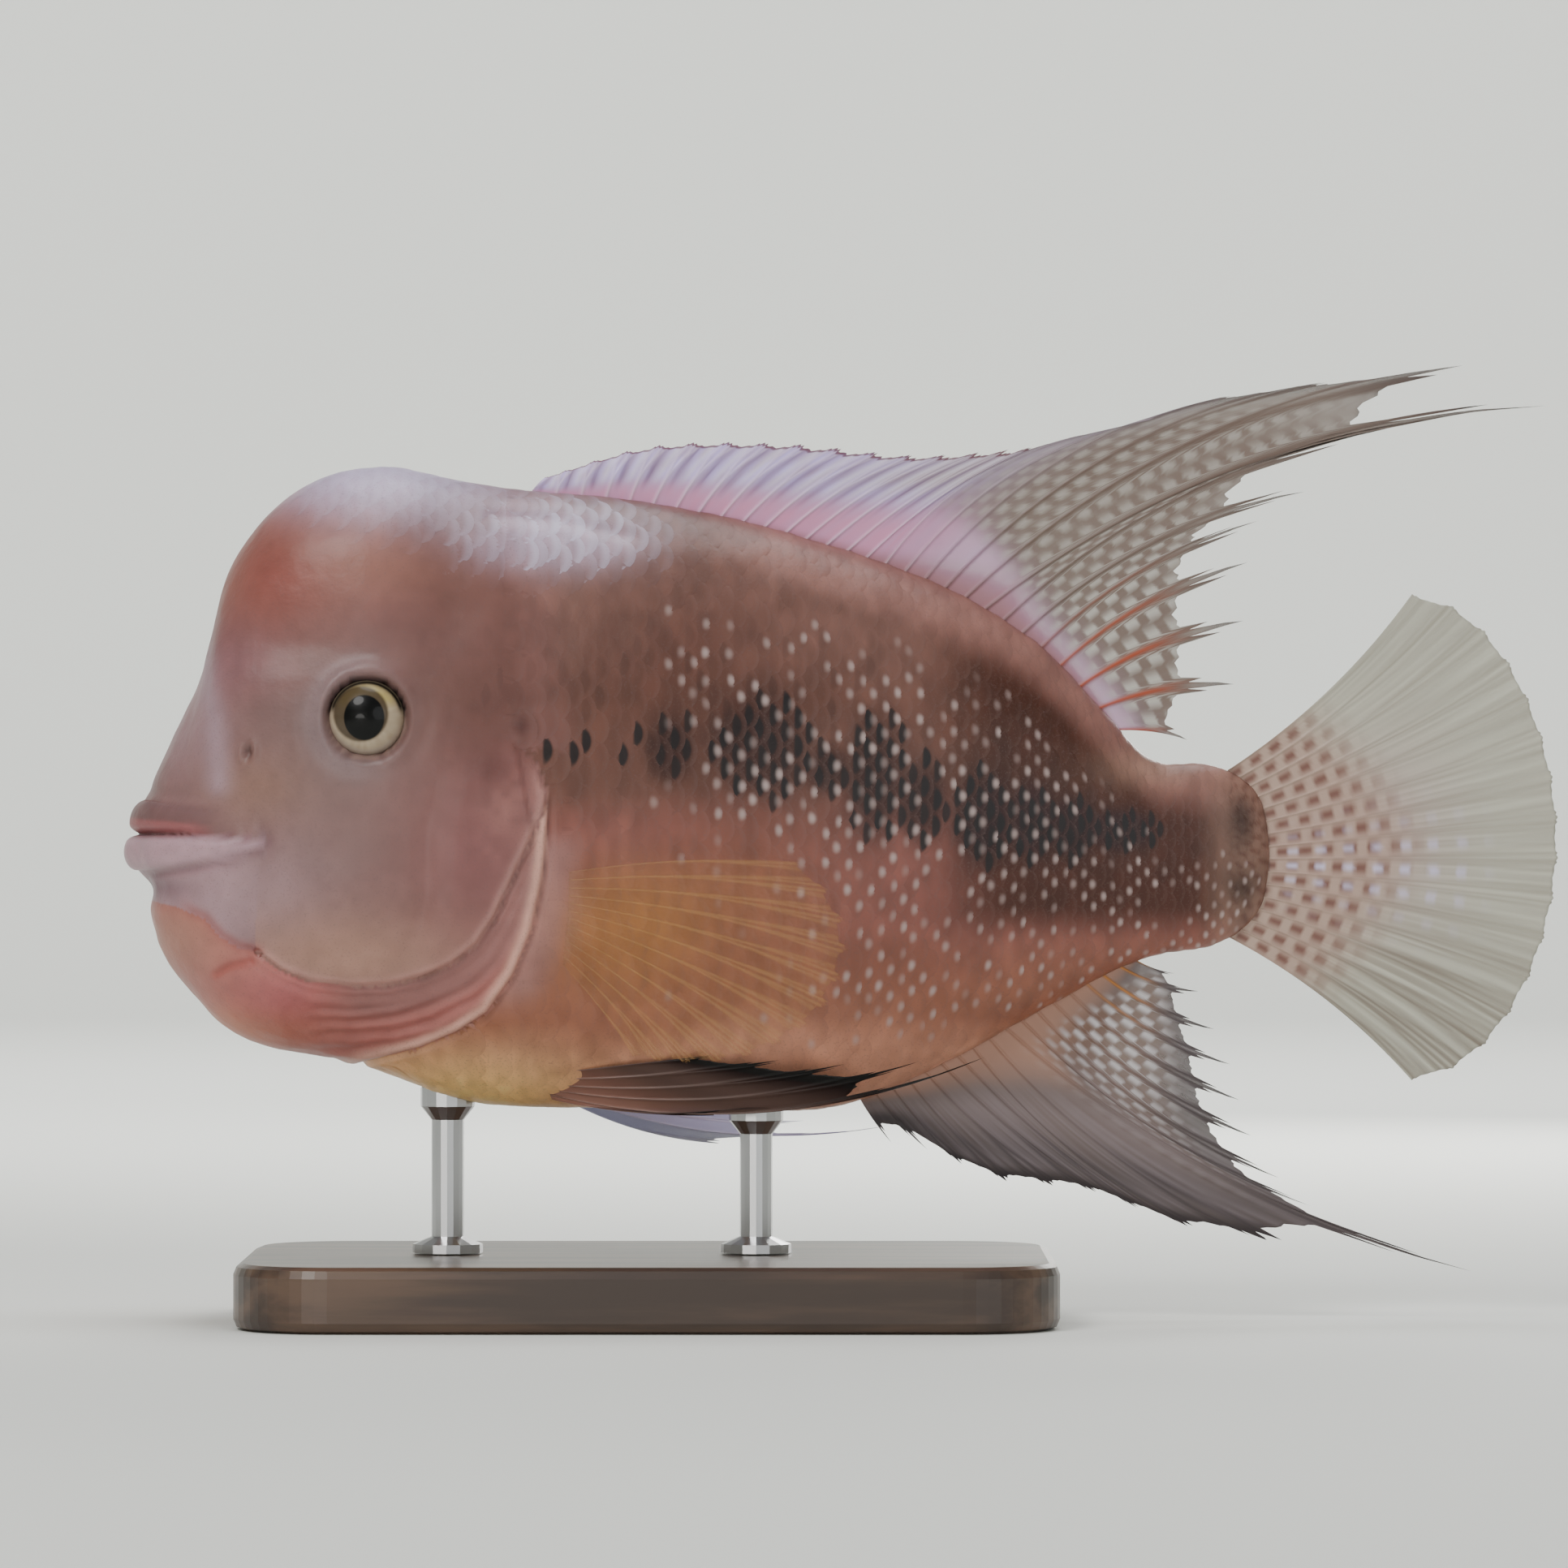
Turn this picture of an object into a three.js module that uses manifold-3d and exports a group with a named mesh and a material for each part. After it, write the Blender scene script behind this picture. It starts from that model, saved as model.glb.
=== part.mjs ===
// A life-size display model of a flowerhorn cichlid, held level on a low stand.
// Millimetres, +Z up. The head points to -X and the fish's left side to -Y.
// The fish is built in its own frame, with x from the lip tip towards the tail and z from the body's axis,
// and the outer group moves that frame over the stand, whose underside centre is the origin.
import * as THREE from "three";
import { mergeVertices } from "three/addons/utils/BufferGeometryUtils.js";
import Module from "manifold-3d";

const wasm = await Module();
wasm.setup();

// Driving dimensions.
const SEAM = 0.3; // gap between two sub-parts that touch
const STAND_CENTRE_X = 95.25; // fish x over the middle of the stand
const AXIS_HEIGHT = 87; // height of the body's axis over the floor
const BASE_LENGTH = 150;
const BASE_DEPTH = 96;
const BASE_HEIGHT = 12;
const BASE_BEVEL = 2;
const ROD_RADIUS = 3;
const ROD_STATIONS = [58, 115]; // fish x of the two rods
const EYE = { x: 44.3, z: 23.9, radius: 7.1, depth: 6.2, proud: 2.6 };
const FAR = 90; // beyond the body, above and below
const BESIDE = 60; // beyond the body, on the left and on the right

// Body sections from lip to tail: the dorsal point, the ventral point, the half-width,
// the share of the height where the section is widest, and how full it is above and below.
const STATIONS = [
  { top: [0, 0.6], bottom: [0, 0.6], half: 0, widest: 0.5, above: 2, below: 2 },
  { top: [0.3, 3.8], bottom: [0.1, -2], half: 3.4, widest: 0.5, above: 2.2, below: 2.2 },
  { top: [1.1, 6.6], bottom: [0.6, -3.9], half: 6.2, widest: 0.5, above: 2.2, below: 2.2 },
  { top: [3.9, 13], bottom: [2.6, -7.8], half: 9.8, widest: 0.5, above: 2.1, below: 2.2 },
  { top: [7.6, 21.2], bottom: [3.5, -13], half: 12.8, widest: 0.55, above: 2, below: 2.3 },
  { top: [12.3, 31.3], bottom: [5.8, -20], half: 16.2, widest: 0.58, above: 2, below: 2.3 },
  { top: [14.9, 41], bottom: [11, -26.8], half: 19.6, widest: 0.62, above: 2.1, below: 2.3 },
  { top: [18, 51.8], bottom: [17.5, -33.4], half: 22.4, widest: 0.64, above: 2.2, below: 2.3 },
  { top: [25.5, 62.2], bottom: [26, -37], half: 24.8, widest: 0.65, above: 2.3, below: 2.3 },
  { top: [35.5, 68.6], bottom: [36, -38.6], half: 26.6, widest: 0.65, above: 2.3, below: 2.3 },
  { top: [47, 70.4], bottom: [47, -41.6], half: 27.9, widest: 0.64, above: 2.3, below: 2.3 },
  { top: [59, 68.2], bottom: [59, -46], half: 28.5, widest: 0.62, above: 2.1, below: 2.3 },
  { top: [72, 66], bottom: [72, -47.7], half: 28.5, widest: 0.6, above: 1.9, below: 2.3 },
  { top: [90, 64.6], bottom: [90, -48], half: 27.4, widest: 0.58, above: 1.8, below: 2.25 },
  { top: [110, 61], bottom: [110, -48.2], half: 25, widest: 0.57, above: 1.8, below: 2.2 },
  { top: [130, 55.5], bottom: [129, -47.9], half: 21.5, widest: 0.56, above: 1.8, below: 2.1 },
  { top: [149, 48.6], bottom: [146, -41.4], half: 17.2, widest: 0.55, above: 1.8, below: 2 },
  { top: [166, 38.6], bottom: [164, -32], half: 13.2, widest: 0.54, above: 1.85, below: 2 },
  { top: [178, 26.6], bottom: [178, -24.2], half: 10, widest: 0.53, above: 1.9, below: 2 },
  { top: [188, 16.4], bottom: [188, -20], half: 7.6, widest: 0.52, above: 2, below: 2 },
  { top: [198, 15.6], bottom: [198, -18.2], half: 5.6, widest: 0.5, above: 2, below: 2 },
  { top: [204.5, 13], bottom: [204.5, -15.2], half: 3.6, widest: 0.5, above: 2, below: 2 },
  { top: [208.5, 8], bottom: [208.5, -10], half: 1.8, widest: 0.5, above: 2, below: 2 },
  { top: [210, -1], bottom: [210, -1], half: 0, widest: 0.5, above: 2, below: 2 },
];

// Soft swellings and hollows of the flank: centre x and z, reach along x and z, and height.
const SWELLINGS = [
  { x: 36, z: 56, reachX: 20, reachZ: 11, rise: 2.4 }, // side of the nuchal hump
  { x: 28, z: 38, reachX: 15, reachZ: 5, rise: -1.6 }, // pinch between the hump and the eye
  { x: 59, z: 44, reachX: 9, reachZ: 9, rise: -1.2 }, // pinch behind the hump
  { x: 40, z: -6, reachX: 17, reachZ: 15, rise: 1.3 }, // cheek
  { x: 17, z: 15, reachX: 8, reachZ: 8, rise: -1.1 }, // side of the muzzle
  { x: 22, z: -27, reachX: 11, reachZ: 7, rise: 1 }, // throat
  { x: 86, z: 10, reachX: 9, reachZ: 24, rise: -1 }, // hollow behind the gill cover
];

// Lines of the head in side view, each a seam between two sub-parts.
const MOUTH_LINE = [[-6, 2.8], [3, 2.75], [12, 2.6], [19, 2.3], [25.3, 1.5]];
const JAW_BACK = [[25.3, 1.5], [24.6, -6], [24.1, -13], [23.9, -18.9]];
const CHIN_FOLD = [
  [23.9, -18.9], [20.3, -18.1], [17.1, -16.2], [14.2, -12.9], [9, -10.7], [3, -9.7], [-6, -9.6],
];
const GILL_RIM_FRONT = [[23.9, -18.9], [28.5, -22.2], [34, -24.4], [41, -25.4], [48, -25.2]];
const GILL_RIM_BACK = [
  [48, -25.2], [54.5, -23.6], [60, -21.2], [64.6, -17.6], [68, -12.5], [71, -6], [74.6, 1.5], [77.4, 9],
];
const GILL_RIM_TOP = [[77.4, 9], [75.6, 15.4], [71.4, 19.5]];
const GILL_TOP = [[63, 20], [71.4, 19.5]];
const PREOPERCLE = [[48, -25.2], [53, -17], [55, -8], [55, 3], [57, 13], [63, 20]];
const MEMBRANE_RIM = [
  [77.4, 9], [77.6, 3.4], [76.6, -6], [74.6, -15], [71.2, -23.2], [66.4, -30], [60.6, -33.8], [54, -36.6],
  [46, -38.9], [38.5, -41], [36, -FAR],
];
const NAPE = [[71.4, 19.5], [69.5, 30], [68.5, 42], [68.5, 54]];
const NAPE_TOP = [[68.5, 54], [69.5, FAR]];
const HUMP_LINE = [[-6, 37], [14, 37], [26, 37.5], [40, 38.5], [52, 42], [62, 48], [68.5, 54]];
const TAIL_LINE = [[176, FAR], [174.5, 30], [177, 5], [175, -25], [173, -FAR]];

const lerp = (a, b, t) => a + (b - a) * t;
const smooth = (t) => t * t * (3 - 2 * t);

// The value of a uniform Catmull-Rom curve through the numbers at parameter s.
function along(values, s) {
  const last = values.length - 1;
  const i = Math.min(Math.floor(s), last - 1);
  const t = s - i;
  const at = (k) => values[Math.max(0, Math.min(last, k))];
  const [a, b, c, d] = [at(i - 1), at(i), at(i + 1), at(i + 2)];
  return b + 0.5 * t * (c - a + t * (2 * a - 5 * b + 4 * c - d + t * (3 * (b - c) + d - a)));
}

// The body's section at station parameter s.
function sectionAt(s) {
  const of = (read) => along(STATIONS.map(read), s);
  return {
    top: [of((k) => k.top[0]), of((k) => k.top[1])],
    bottom: [of((k) => k.bottom[0]), of((k) => k.bottom[1])],
    half: Math.max(0, of((k) => k.half)),
    widest: of((k) => k.widest),
    above: of((k) => k.above),
    below: of((k) => k.below),
  };
}

// How far the flank swells sideways at a point of the side view.
function swellAt(x, z) {
  return SWELLINGS.reduce((sum, w) => {
    const away = ((x - w.x) / w.reachX) ** 2 + ((z - w.z) / w.reachZ) ** 2;
    return sum + w.rise * Math.exp(-away);
  }, 0);
}

// A point of the body: angle 0 is the dorsal line, half a turn the ventral line.
// swell moves the flanks out, and grow moves the whole surface out.
function bodyPoint(s, angle, swell, grow) {
  const k = sectionAt(s);
  const c = Math.cos(angle);
  const power = 2 / (c > 0 ? k.above : k.below);
  const reach = Math.abs(c) ** power;
  const share = c > 0 ? k.widest * (1 - reach) : k.widest + (1 - k.widest) * reach;
  const chord = [k.bottom[0] - k.top[0], k.bottom[1] - k.top[1]];
  const height = Math.max(Math.hypot(...chord), 1e-6);
  const x = k.top[0] + chord[0] * share - (chord[0] / height) * grow * Math.cos(angle);
  const z = k.top[1] + chord[1] * share - (chord[1] / height) * grow * Math.cos(angle);
  const flank = (k.half + grow) * Math.abs(Math.sin(angle)) ** power;
  const extra = (swell + swellAt(x, z)) * Math.min(1, flank / 8);
  return [x, Math.sign(Math.sin(angle)) * Math.max(0, flank + extra), z];
}

// A closed mesh from rings of points between two end points.
function ringedGeometry(first, rings, last) {
  const count = rings[0].length;
  const positions = [first, ...rings.flat(), last].flat();
  const index = [];
  const at = (ring, i) => 1 + ring * count + (i % count);
  const end = rings.length * count + 1;
  for (let i = 0; i < count; i += 1) {
    index.push(0, at(0, i), at(0, i + 1));
    for (let r = 0; r + 1 < rings.length; r += 1) {
      index.push(at(r, i), at(r + 1, i), at(r + 1, i + 1));
      index.push(at(r, i), at(r + 1, i + 1), at(r, i + 1));
    }
    index.push(end, at(rings.length - 1, i + 1), at(rings.length - 1, i));
  }
  return new THREE.BufferGeometry()
    .setAttribute("position", new THREE.BufferAttribute(new Float32Array(positions), 3))
    .setIndex(index);
}

// The body's station parameters of the mesh rings, closer together on the head.
const BODY_RINGS = [];
for (let s = 0.5; s < STATIONS.length - 1; s += s < 11 ? 0.5 : 0.75) BODY_RINGS.push(s);
BODY_RINGS.push(STATIONS.length - 1.35);
const BODY_SIDES = 28;

function bodyGeometry(swell = 0, grow = 0) {
  const rings = BODY_RINGS.map((s) =>
    Array.from({ length: BODY_SIDES }, (_, i) => bodyPoint(s, (2 * Math.PI * i) / BODY_SIDES, swell, grow)),
  );
  const nose = STATIONS[0].top;
  const tail = STATIONS.at(-1).top;
  return ringedGeometry([nose[0] - grow, 0, nose[1]], rings, [tail[0] + grow, 0, tail[1]]);
}

// A closed geometry as a manifold-3d solid, turned so that its faces point out.
function solid(geometry) {
  const bare = geometry.index ? geometry.toNonIndexed() : geometry;
  const places = new THREE.BufferGeometry().setAttribute("position", bare.getAttribute("position"));
  const merged = mergeVertices(places, 1e-4);
  const triVerts = new Uint32Array(merged.index.array);
  const made = () => new wasm.Manifold(
    new wasm.Mesh({ numProp: 3, vertProperties: merged.attributes.position.array, triVerts }),
  );
  const first = made();
  if (first.volume() >= 0) return first;
  for (let i = 0; i < triVerts.length; i += 3) triVerts.subarray(i, i + 3).reverse();
  return made();
}

// The largest closed piece of a solid.
function largest(made) {
  return made.decompose().sort((a, b) => b.volume() - a.volume())[0];
}

function geometryOf(made) {
  const mesh = made.getMesh();
  const positions = new Float32Array(mesh.numVert * 3);
  for (let i = 0; i < mesh.numVert; i += 1) {
    positions.set(mesh.vertProperties.subarray(i * mesh.numProp, i * mesh.numProp + 3), i * 3);
  }
  const geometry = new THREE.BufferGeometry()
    .setAttribute("position", new THREE.BufferAttribute(positions, 3))
    .setIndex(new THREE.BufferAttribute(mesh.triVerts, 1));
  geometry.computeVertexNormals();
  return geometry;
}

// A side-view outline of [x, z] points made solid between two depths.
function sidePrism(outline, from = -BESIDE, to = BESIDE) {
  const shape = new THREE.Shape(outline.map(([x, z]) => new THREE.Vector2(x, z)));
  const geometry = new THREE.ExtrudeGeometry(shape, { depth: to - from, bevelEnabled: false });
  return solid(geometry.rotateX(Math.PI / 2).translate(0, to, 0));
}

// A side-view line made solid as a thin wall, for parting two sub-parts.
function seam(line, widths = [SEAM, SEAM]) {
  const sides = [1, -1].map((side) =>
    line.map(([x, z], i) => {
      const before = line[Math.max(0, i - 1)];
      const after = line[Math.min(line.length - 1, i + 1)];
      const run = new THREE.Vector2(after[0] - before[0], after[1] - before[1]).normalize();
      const reach = (side * lerp(widths[0], widths[1], i / (line.length - 1))) / 2;
      return [x - run.y * reach, z + run.x * reach];
    }),
  );
  return sidePrism([...sides[0], ...sides[1].reverse()]);
}

const reversed = (line) => [...line].reverse();
const joined = (...solids) => solids.reduce((sum, next) => sum.add(next));

// The body's surface, for setting eyes, lips and fins on it.
const skinMesh = new THREE.Mesh(bodyGeometry(), new THREE.MeshBasicMaterial({ side: THREE.DoubleSide }));
const caster = new THREE.Raycaster();

function halfWidthAt(x, z) {
  caster.set(new THREE.Vector3(x, -BESIDE, z), new THREE.Vector3(0, 1, 0));
  const [hit] = caster.intersectObject(skinMesh);
  return hit ? -hit.point.y : 0;
}

// The height of the back (side 1) or the belly (side -1) at a fish x.
function outlineAt(x, side) {
  caster.set(new THREE.Vector3(x, 0.01, side * FAR), new THREE.Vector3(0, 0, -side));
  const [hit] = caster.intersectObject(skinMesh);
  return hit ? hit.point.z : 0;
}

// A tapered tube of oval section along a path of {point, up, out}.
function ovalTube(path, sides = 8) {
  const spots = path.map((p) => new THREE.Vector3(...p.point));
  const rings = spots.map((spot, i) => {
    const run = spots[Math.min(i + 1, spots.length - 1)].clone().sub(spots[Math.max(i - 1, 0)]).normalize();
    const out = new THREE.Vector3().crossVectors(run, new THREE.Vector3(0, 0, 1)).normalize();
    const up = new THREE.Vector3().crossVectors(out, run);
    return Array.from({ length: sides }, (_, k) => {
      const turn = (2 * Math.PI * k) / sides;
      return spot
        .clone()
        .addScaledVector(out, Math.cos(turn) * path[i].out)
        .addScaledVector(up, Math.sin(turn) * path[i].up)
        .toArray();
    });
  });
  return solid(ringedGeometry(spots[0].toArray(), rings, spots[spots.length - 1].toArray()));
}

// A lip: one roll round the muzzle from the left mouth corner to the right one.
function lip({ front, corner, height, cornerHeight, depth }) {
  const steps = 9;
  const half = Array.from({ length: steps }, (_, i) => {
    const t = i / (steps - 1);
    const x = lerp(corner[0], front[0], Math.sin((t * Math.PI) / 2) ** 1.3);
    const z = lerp(corner[1], front[1], t);
    return { x, z, y: t === 1 ? 0 : Math.max(0, halfWidthAt(x, z) - 0.4), t };
  });
  const asSpot = ({ x, y, z, t }, side) => ({
    point: [x, side * y, z],
    up: lerp(cornerHeight, height, smooth(t)),
    out: lerp(0.7, depth, smooth(t)),
  });
  return ovalTube([
    ...half.map((h) => asSpot(h, -1)),
    ...reversed(half.slice(0, -1)).map((h) => asSpot(h, 1)),
  ]);
}

// Head, hump, jaw, throat, gill covers, torso and tail, parted by thin cuts.
const FLANK_SWELL = { head: 1, gill: 1.7, throat: 0.6 };
const PLATE_DEPTH = 2.4;

const preopercleSeam = seam(PREOPERCLE);
const plainLines = [
  JAW_BACK, CHIN_FOLD, GILL_RIM_FRONT, GILL_RIM_BACK, GILL_RIM_TOP, MEMBRANE_RIM, NAPE, NAPE_TOP, HUMP_LINE,
  TAIL_LINE,
];
const seams = joined(seam(MOUTH_LINE, [1.1, SEAM]), ...plainLines.map((line) => seam(line)));

const gillOutline = [
  ...PREOPERCLE, ...GILL_TOP.slice(1), ...reversed(GILL_RIM_TOP).slice(1),
  ...reversed(GILL_RIM_BACK).slice(1, -1),
];
const headOutline = [
  ...MOUTH_LINE, ...JAW_BACK.slice(1), ...GILL_RIM_FRONT.slice(1), ...GILL_RIM_BACK.slice(1),
  ...GILL_RIM_TOP.slice(1), ...NAPE.slice(1), ...reversed(HUMP_LINE).slice(1),
];
const humpOutline = [...HUMP_LINE, [69.5, FAR], [-6, FAR]];
const jawOutline = [...MOUTH_LINE, ...JAW_BACK.slice(1), ...CHIN_FOLD.slice(1)];
const throatOutline = [
  ...reversed(CHIN_FOLD), ...GILL_RIM_FRONT.slice(1), ...GILL_RIM_BACK.slice(1), ...MEMBRANE_RIM.slice(1),
  [-6, -FAR],
];
const torsoOutline = [
  ...reversed(NAPE_TOP), ...reversed(NAPE).slice(1), ...reversed(GILL_RIM_TOP).slice(1),
  ...MEMBRANE_RIM.slice(1), ...reversed(TAIL_LINE),
];
const tailOutline = [...TAIL_LINE, [230, -FAR], [230, FAR]];

const bodyPart = (outline, swell = 0) =>
  solid(bodyGeometry(swell)).intersect(sidePrism(outline)).subtract(seams);
const mirrored = (made) => made.mirror([0, 1, 0]);

// An eyeball and the socket round it, on the left side.
const eyeY = -(halfWidthAt(EYE.x, EYE.z) + FLANK_SWELL.head + EYE.proud - EYE.depth);
const eyeball = (room) =>
  solid(
    new THREE.SphereGeometry(1, 16, 10)
      .scale(EYE.radius + room, EYE.depth + room, EYE.radius + room)
      .translate(EYE.x, eyeY, EYE.z),
  );
const eyeRim = solid(
  new THREE.TorusGeometry(EYE.radius + 0.3, 1.2, 5, 18)
    .rotateX(Math.PI / 2)
    .translate(EYE.x, eyeY - EYE.depth + EYE.proud + 0.5, EYE.z),
);

// A nostril pit on the left side.
const NOSTRIL = { x: 22.5, z: 17.6, radius: 0.9, depth: 2 };
const nostrilY = -(halfWidthAt(NOSTRIL.x, NOSTRIL.z) + FLANK_SWELL.head);
const nostril = solid(
  new THREE.SphereGeometry(NOSTRIL.radius, 10, 8)
    .scale(1, NOSTRIL.depth, 1.3)
    .translate(NOSTRIL.x, nostrilY, NOSTRIL.z),
);
const nostrilRim = solid(
  new THREE.TorusGeometry(NOSTRIL.radius + 0.5, 0.7, 5, 12)
    .rotateX(Math.PI / 2)
    .translate(NOSTRIL.x, nostrilY + 0.3, NOSTRIL.z),
);

const bothSides = (made) => made.add(mirrored(made));
const upperLip = lip({ front: [1.9, 5.5], corner: [23.5, 3.3], height: 3, cornerHeight: 0.9, depth: 1.9 });
const lowerLip = lip({ front: [1.6, -0.9], corner: [24, 0.6], height: 3, cornerHeight: 1.1, depth: 1.9 });
const gillCore = solid(bodyGeometry(FLANK_SWELL.gill - PLATE_DEPTH - SEAM));
const gillPocket = sidePrism(gillOutline).add(preopercleSeam).subtract(gillCore);

const headSolid = largest(
  bodyPart(headOutline, FLANK_SWELL.head)
    .add(bothSides(joined(eyeRim, nostrilRim)))
    .add(upperLip)
    .subtract(bothSides(joined(eyeball(SEAM), nostril)))
    .subtract(gillPocket)
    .intersect(sidePrism(headOutline))
    .subtract(seams),
);
const jawSolid = largest(
  bodyPart(jawOutline, 0.3).add(lowerLip).intersect(sidePrism(jawOutline)).subtract(seams),
);
const gillPlate = bodyPart(gillOutline, FLANK_SWELL.gill)
  .subtract(preopercleSeam)
  .subtract(solid(bodyGeometry(FLANK_SWELL.gill - PLATE_DEPTH)))
  .intersect(sidePrism(gillOutline, -BESIDE, 0));

// A point of a fin ray in side view: a quadratic curve from base to tip, bowed by a share of its length.
function rayPoint(ray, v) {
  const run = [ray.tip[0] - ray.base[0], ray.tip[1] - ray.base[1]];
  const bow = 4 * ray.bow * v * (1 - v);
  return [ray.base[0] + run[0] * v - run[1] * bow, ray.base[1] + run[1] * v + run[0] * bow];
}

// The direction of a ray at share v.
function runAt(ray, v) {
  const [ahead, behind] = [rayPoint(ray, v + 0.01), rayPoint(ray, v - 0.01)];
  return new THREE.Vector2(ahead[0] - behind[0], ahead[1] - behind[1]).normalize();
}

// The rays' rows: webRows across the membrane, then the rest to the free tips.
function rowShare(fin, ray, j) {
  if (j <= fin.webRows) return (ray.web * j) / fin.webRows;
  return lerp(ray.web, 1, (j - fin.webRows) / (fin.rows - fin.webRows));
}

// The clear distance from a ray to its nearer neighbour, square to the ray.
function roomBeside(fin, i, v, run) {
  const [x, z] = rayPoint(fin.rays[i], v);
  const neighbours = [fin.rays[i - 1] ?? fin.before, fin.rays[i + 1] ?? fin.after].filter(Boolean);
  return Math.min(
    ...neighbours.map((ray) => {
      const [nearX, nearZ] = rayPoint(ray, v);
      return Math.max(0.15, Math.abs((nearX - x) * run.y - (nearZ - z) * run.x));
    }),
  );
}

// A fin of raised rays with membrane between them. Each ray has two feet and a ridge,
// and place turns a side-view point at share v of ray u into a point of the fin's middle surface.
// Where another fin follows, the membrane ends halfway to its first ray.
function finSolid(fin) {
  const vertices = [];
  const vertex = ([x, z], u, v, half) => {
    vertices.push({ spot: fin.place(x, z, u, v), half });
    return vertices.length - 1;
  };
  const webHalf = (v) => lerp(fin.web[0], fin.web[1], v);
  const across = runAt(fin.rays[0], 0.5);
  const [first, second] = [rayPoint(fin.rays[0], 0.5), rayPoint(fin.rays[1], 0.5)];
  const turn = Math.sign((second[1] - first[1]) * across.x - (second[0] - first[0]) * across.y);
  const rayColumns = fin.rays.map((ray, i) => {
    const u = i / (fin.rays.length - 1);
    return [-1, 0, 1].map((side) =>
      Array.from({ length: fin.rows + 1 }, (_, j) => {
        const v = rowShare(fin, ray, j);
        const [x, z] = rayPoint(ray, v);
        const run = runAt(ray, v);
        const room = 0.3 * roomBeside(fin, i, v, run);
        const wanted = Math.min(room, lerp(fin.foot[0], fin.foot[1], v));
        const foot = turn * side * wanted * (j === fin.rows ? 0.3 : 1);
        if (j === 0 && fin.seat) {
          const seatX = x - Math.sign(run.y) * foot;
          return vertex([seatX, fin.seat(seatX)], u, v, webHalf(v));
        }
        const half = side === 0 ? lerp(fin.ridge[0], fin.ridge[1], v) : webHalf(v);
        return vertex([x - run.y * foot, z + run.x * foot], u, v, half);
      }),
    );
  });
  const faces = [];
  const strip = (a, b, rows) => {
    for (let j = 0; j < rows; j += 1) faces.push([a[j], a[j + 1], b[j + 1]], [a[j], b[j + 1], b[j]]);
  };
  rayColumns.forEach(([left, ridge, right], i) => {
    strip(left, ridge, fin.rows);
    strip(ridge, right, fin.rows);
    if (i + 1 < rayColumns.length) strip(right, rayColumns[i + 1][0], fin.webRows);
  });
  const halfway = (ray, next, u) =>
    Array.from({ length: fin.webRows + 1 }, (_, j) => {
      const v = (((ray.web + next.web) / 2) * j) / fin.webRows;
      const [a, b] = [rayPoint(ray, v), rayPoint(next, v)];
      const run = runAt(ray, v).add(runAt(next, v)).normalize();
      const own = Math.sign((a[1] - b[1]) * run.x - (a[0] - b[0]) * run.y) * SEAM * 0.75;
      const x = (a[0] + b[0]) / 2 - run.y * own;
      return vertex([x, j === 0 ? fin.seat(x) : (a[1] + b[1]) / 2 + run.x * own], u, v, webHalf(v));
    });
  if (fin.before) strip(halfway(fin.rays[0], fin.before, 0), rayColumns[0][0], fin.webRows);
  if (fin.after) strip(rayColumns.at(-1)[2], halfway(fin.rays.at(-1), fin.after, 1), fin.webRows);
  return thickened(vertices, faces);
}

// A sheet of triangles made solid by its half-thickness along Y on both sides.
function thickened(vertices, faces) {
  const count = vertices.length;
  const positions = [-1, 1].flatMap((side) =>
    vertices.flatMap(({ spot, half }) => [spot[0], spot[1] + side * half, spot[2]]),
  );
  const edges = new Map();
  faces.forEach(([a, b, c]) => {
    [[a, b], [b, c], [c, a]].forEach(([p, q]) => {
      if (!edges.delete(`${q},${p}`)) edges.set(`${p},${q}`, [p, q]);
    });
  });
  const walls = [...edges.values()].flatMap(([p, q]) => [[q, p, p + count], [q, p + count, q + count]]);
  const index = [
    ...faces.flat(),
    ...faces.flatMap(([a, b, c]) => [a + count, c + count, b + count]),
    ...walls.flat(),
  ];
  return solid(
    new THREE.BufferGeometry()
      .setAttribute("position", new THREE.BufferAttribute(new Float32Array(positions), 3))
      .setIndex(index),
  );
}

// The point at share t of a smooth curve through the points.
const splined = (points, t) =>
  [0, 1].map((axis) => along(points.map((point) => point[axis]), t * (points.length - 1)));

// What the paired fins and the caudal fin are cut clear of: the whole body, grown by the seam.
const bodyRoom = solid(bodyGeometry(0, SEAM));

// Median fins stand in the middle plane and wave a little towards their edges.
const median = (wave, turns) => (x, z, u, v) => [x, wave * Math.sin(turns * u + 0.6) * v * v, z];

// Where a fin on the back or the belly is seated, clear of the skin by the seam.
const seatOn = (side) => (x) => outlineAt(x, side) + side * SEAM * 1.3;

// Dorsal fin: 16 spines whose tips follow one margin, then 13 soft rays that trail behind.
const DORSAL_SPINES = 16;
const SPINY_MARGIN = [[76, 68.6], [95.7, 74.4], [120, 74.9], [145, 72.6], [165.5, 74]];
const SOFT_DORSAL_TIPS = [
  [174.8, 76.2], [188.3, 79.2], [202, 83.5], [219.5, 86.1], [245.7, 89.3], [261, 81.8], [231.8, 77.6],
  [216.4, 65.9], [207.8, 60.5], [205.8, 52.8], [205, 42], [203.3, 30.3], [194.6, 20],
];
const SOFT_DORSAL_WEBS = [0.97, 0.97, 0.97, 0.96, 0.9, 0.68, 0.7, 0.74, 0.72, 0.68, 0.66, 0.64, 0.66];
const dorsalCount = DORSAL_SPINES + SOFT_DORSAL_TIPS.length;
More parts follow.
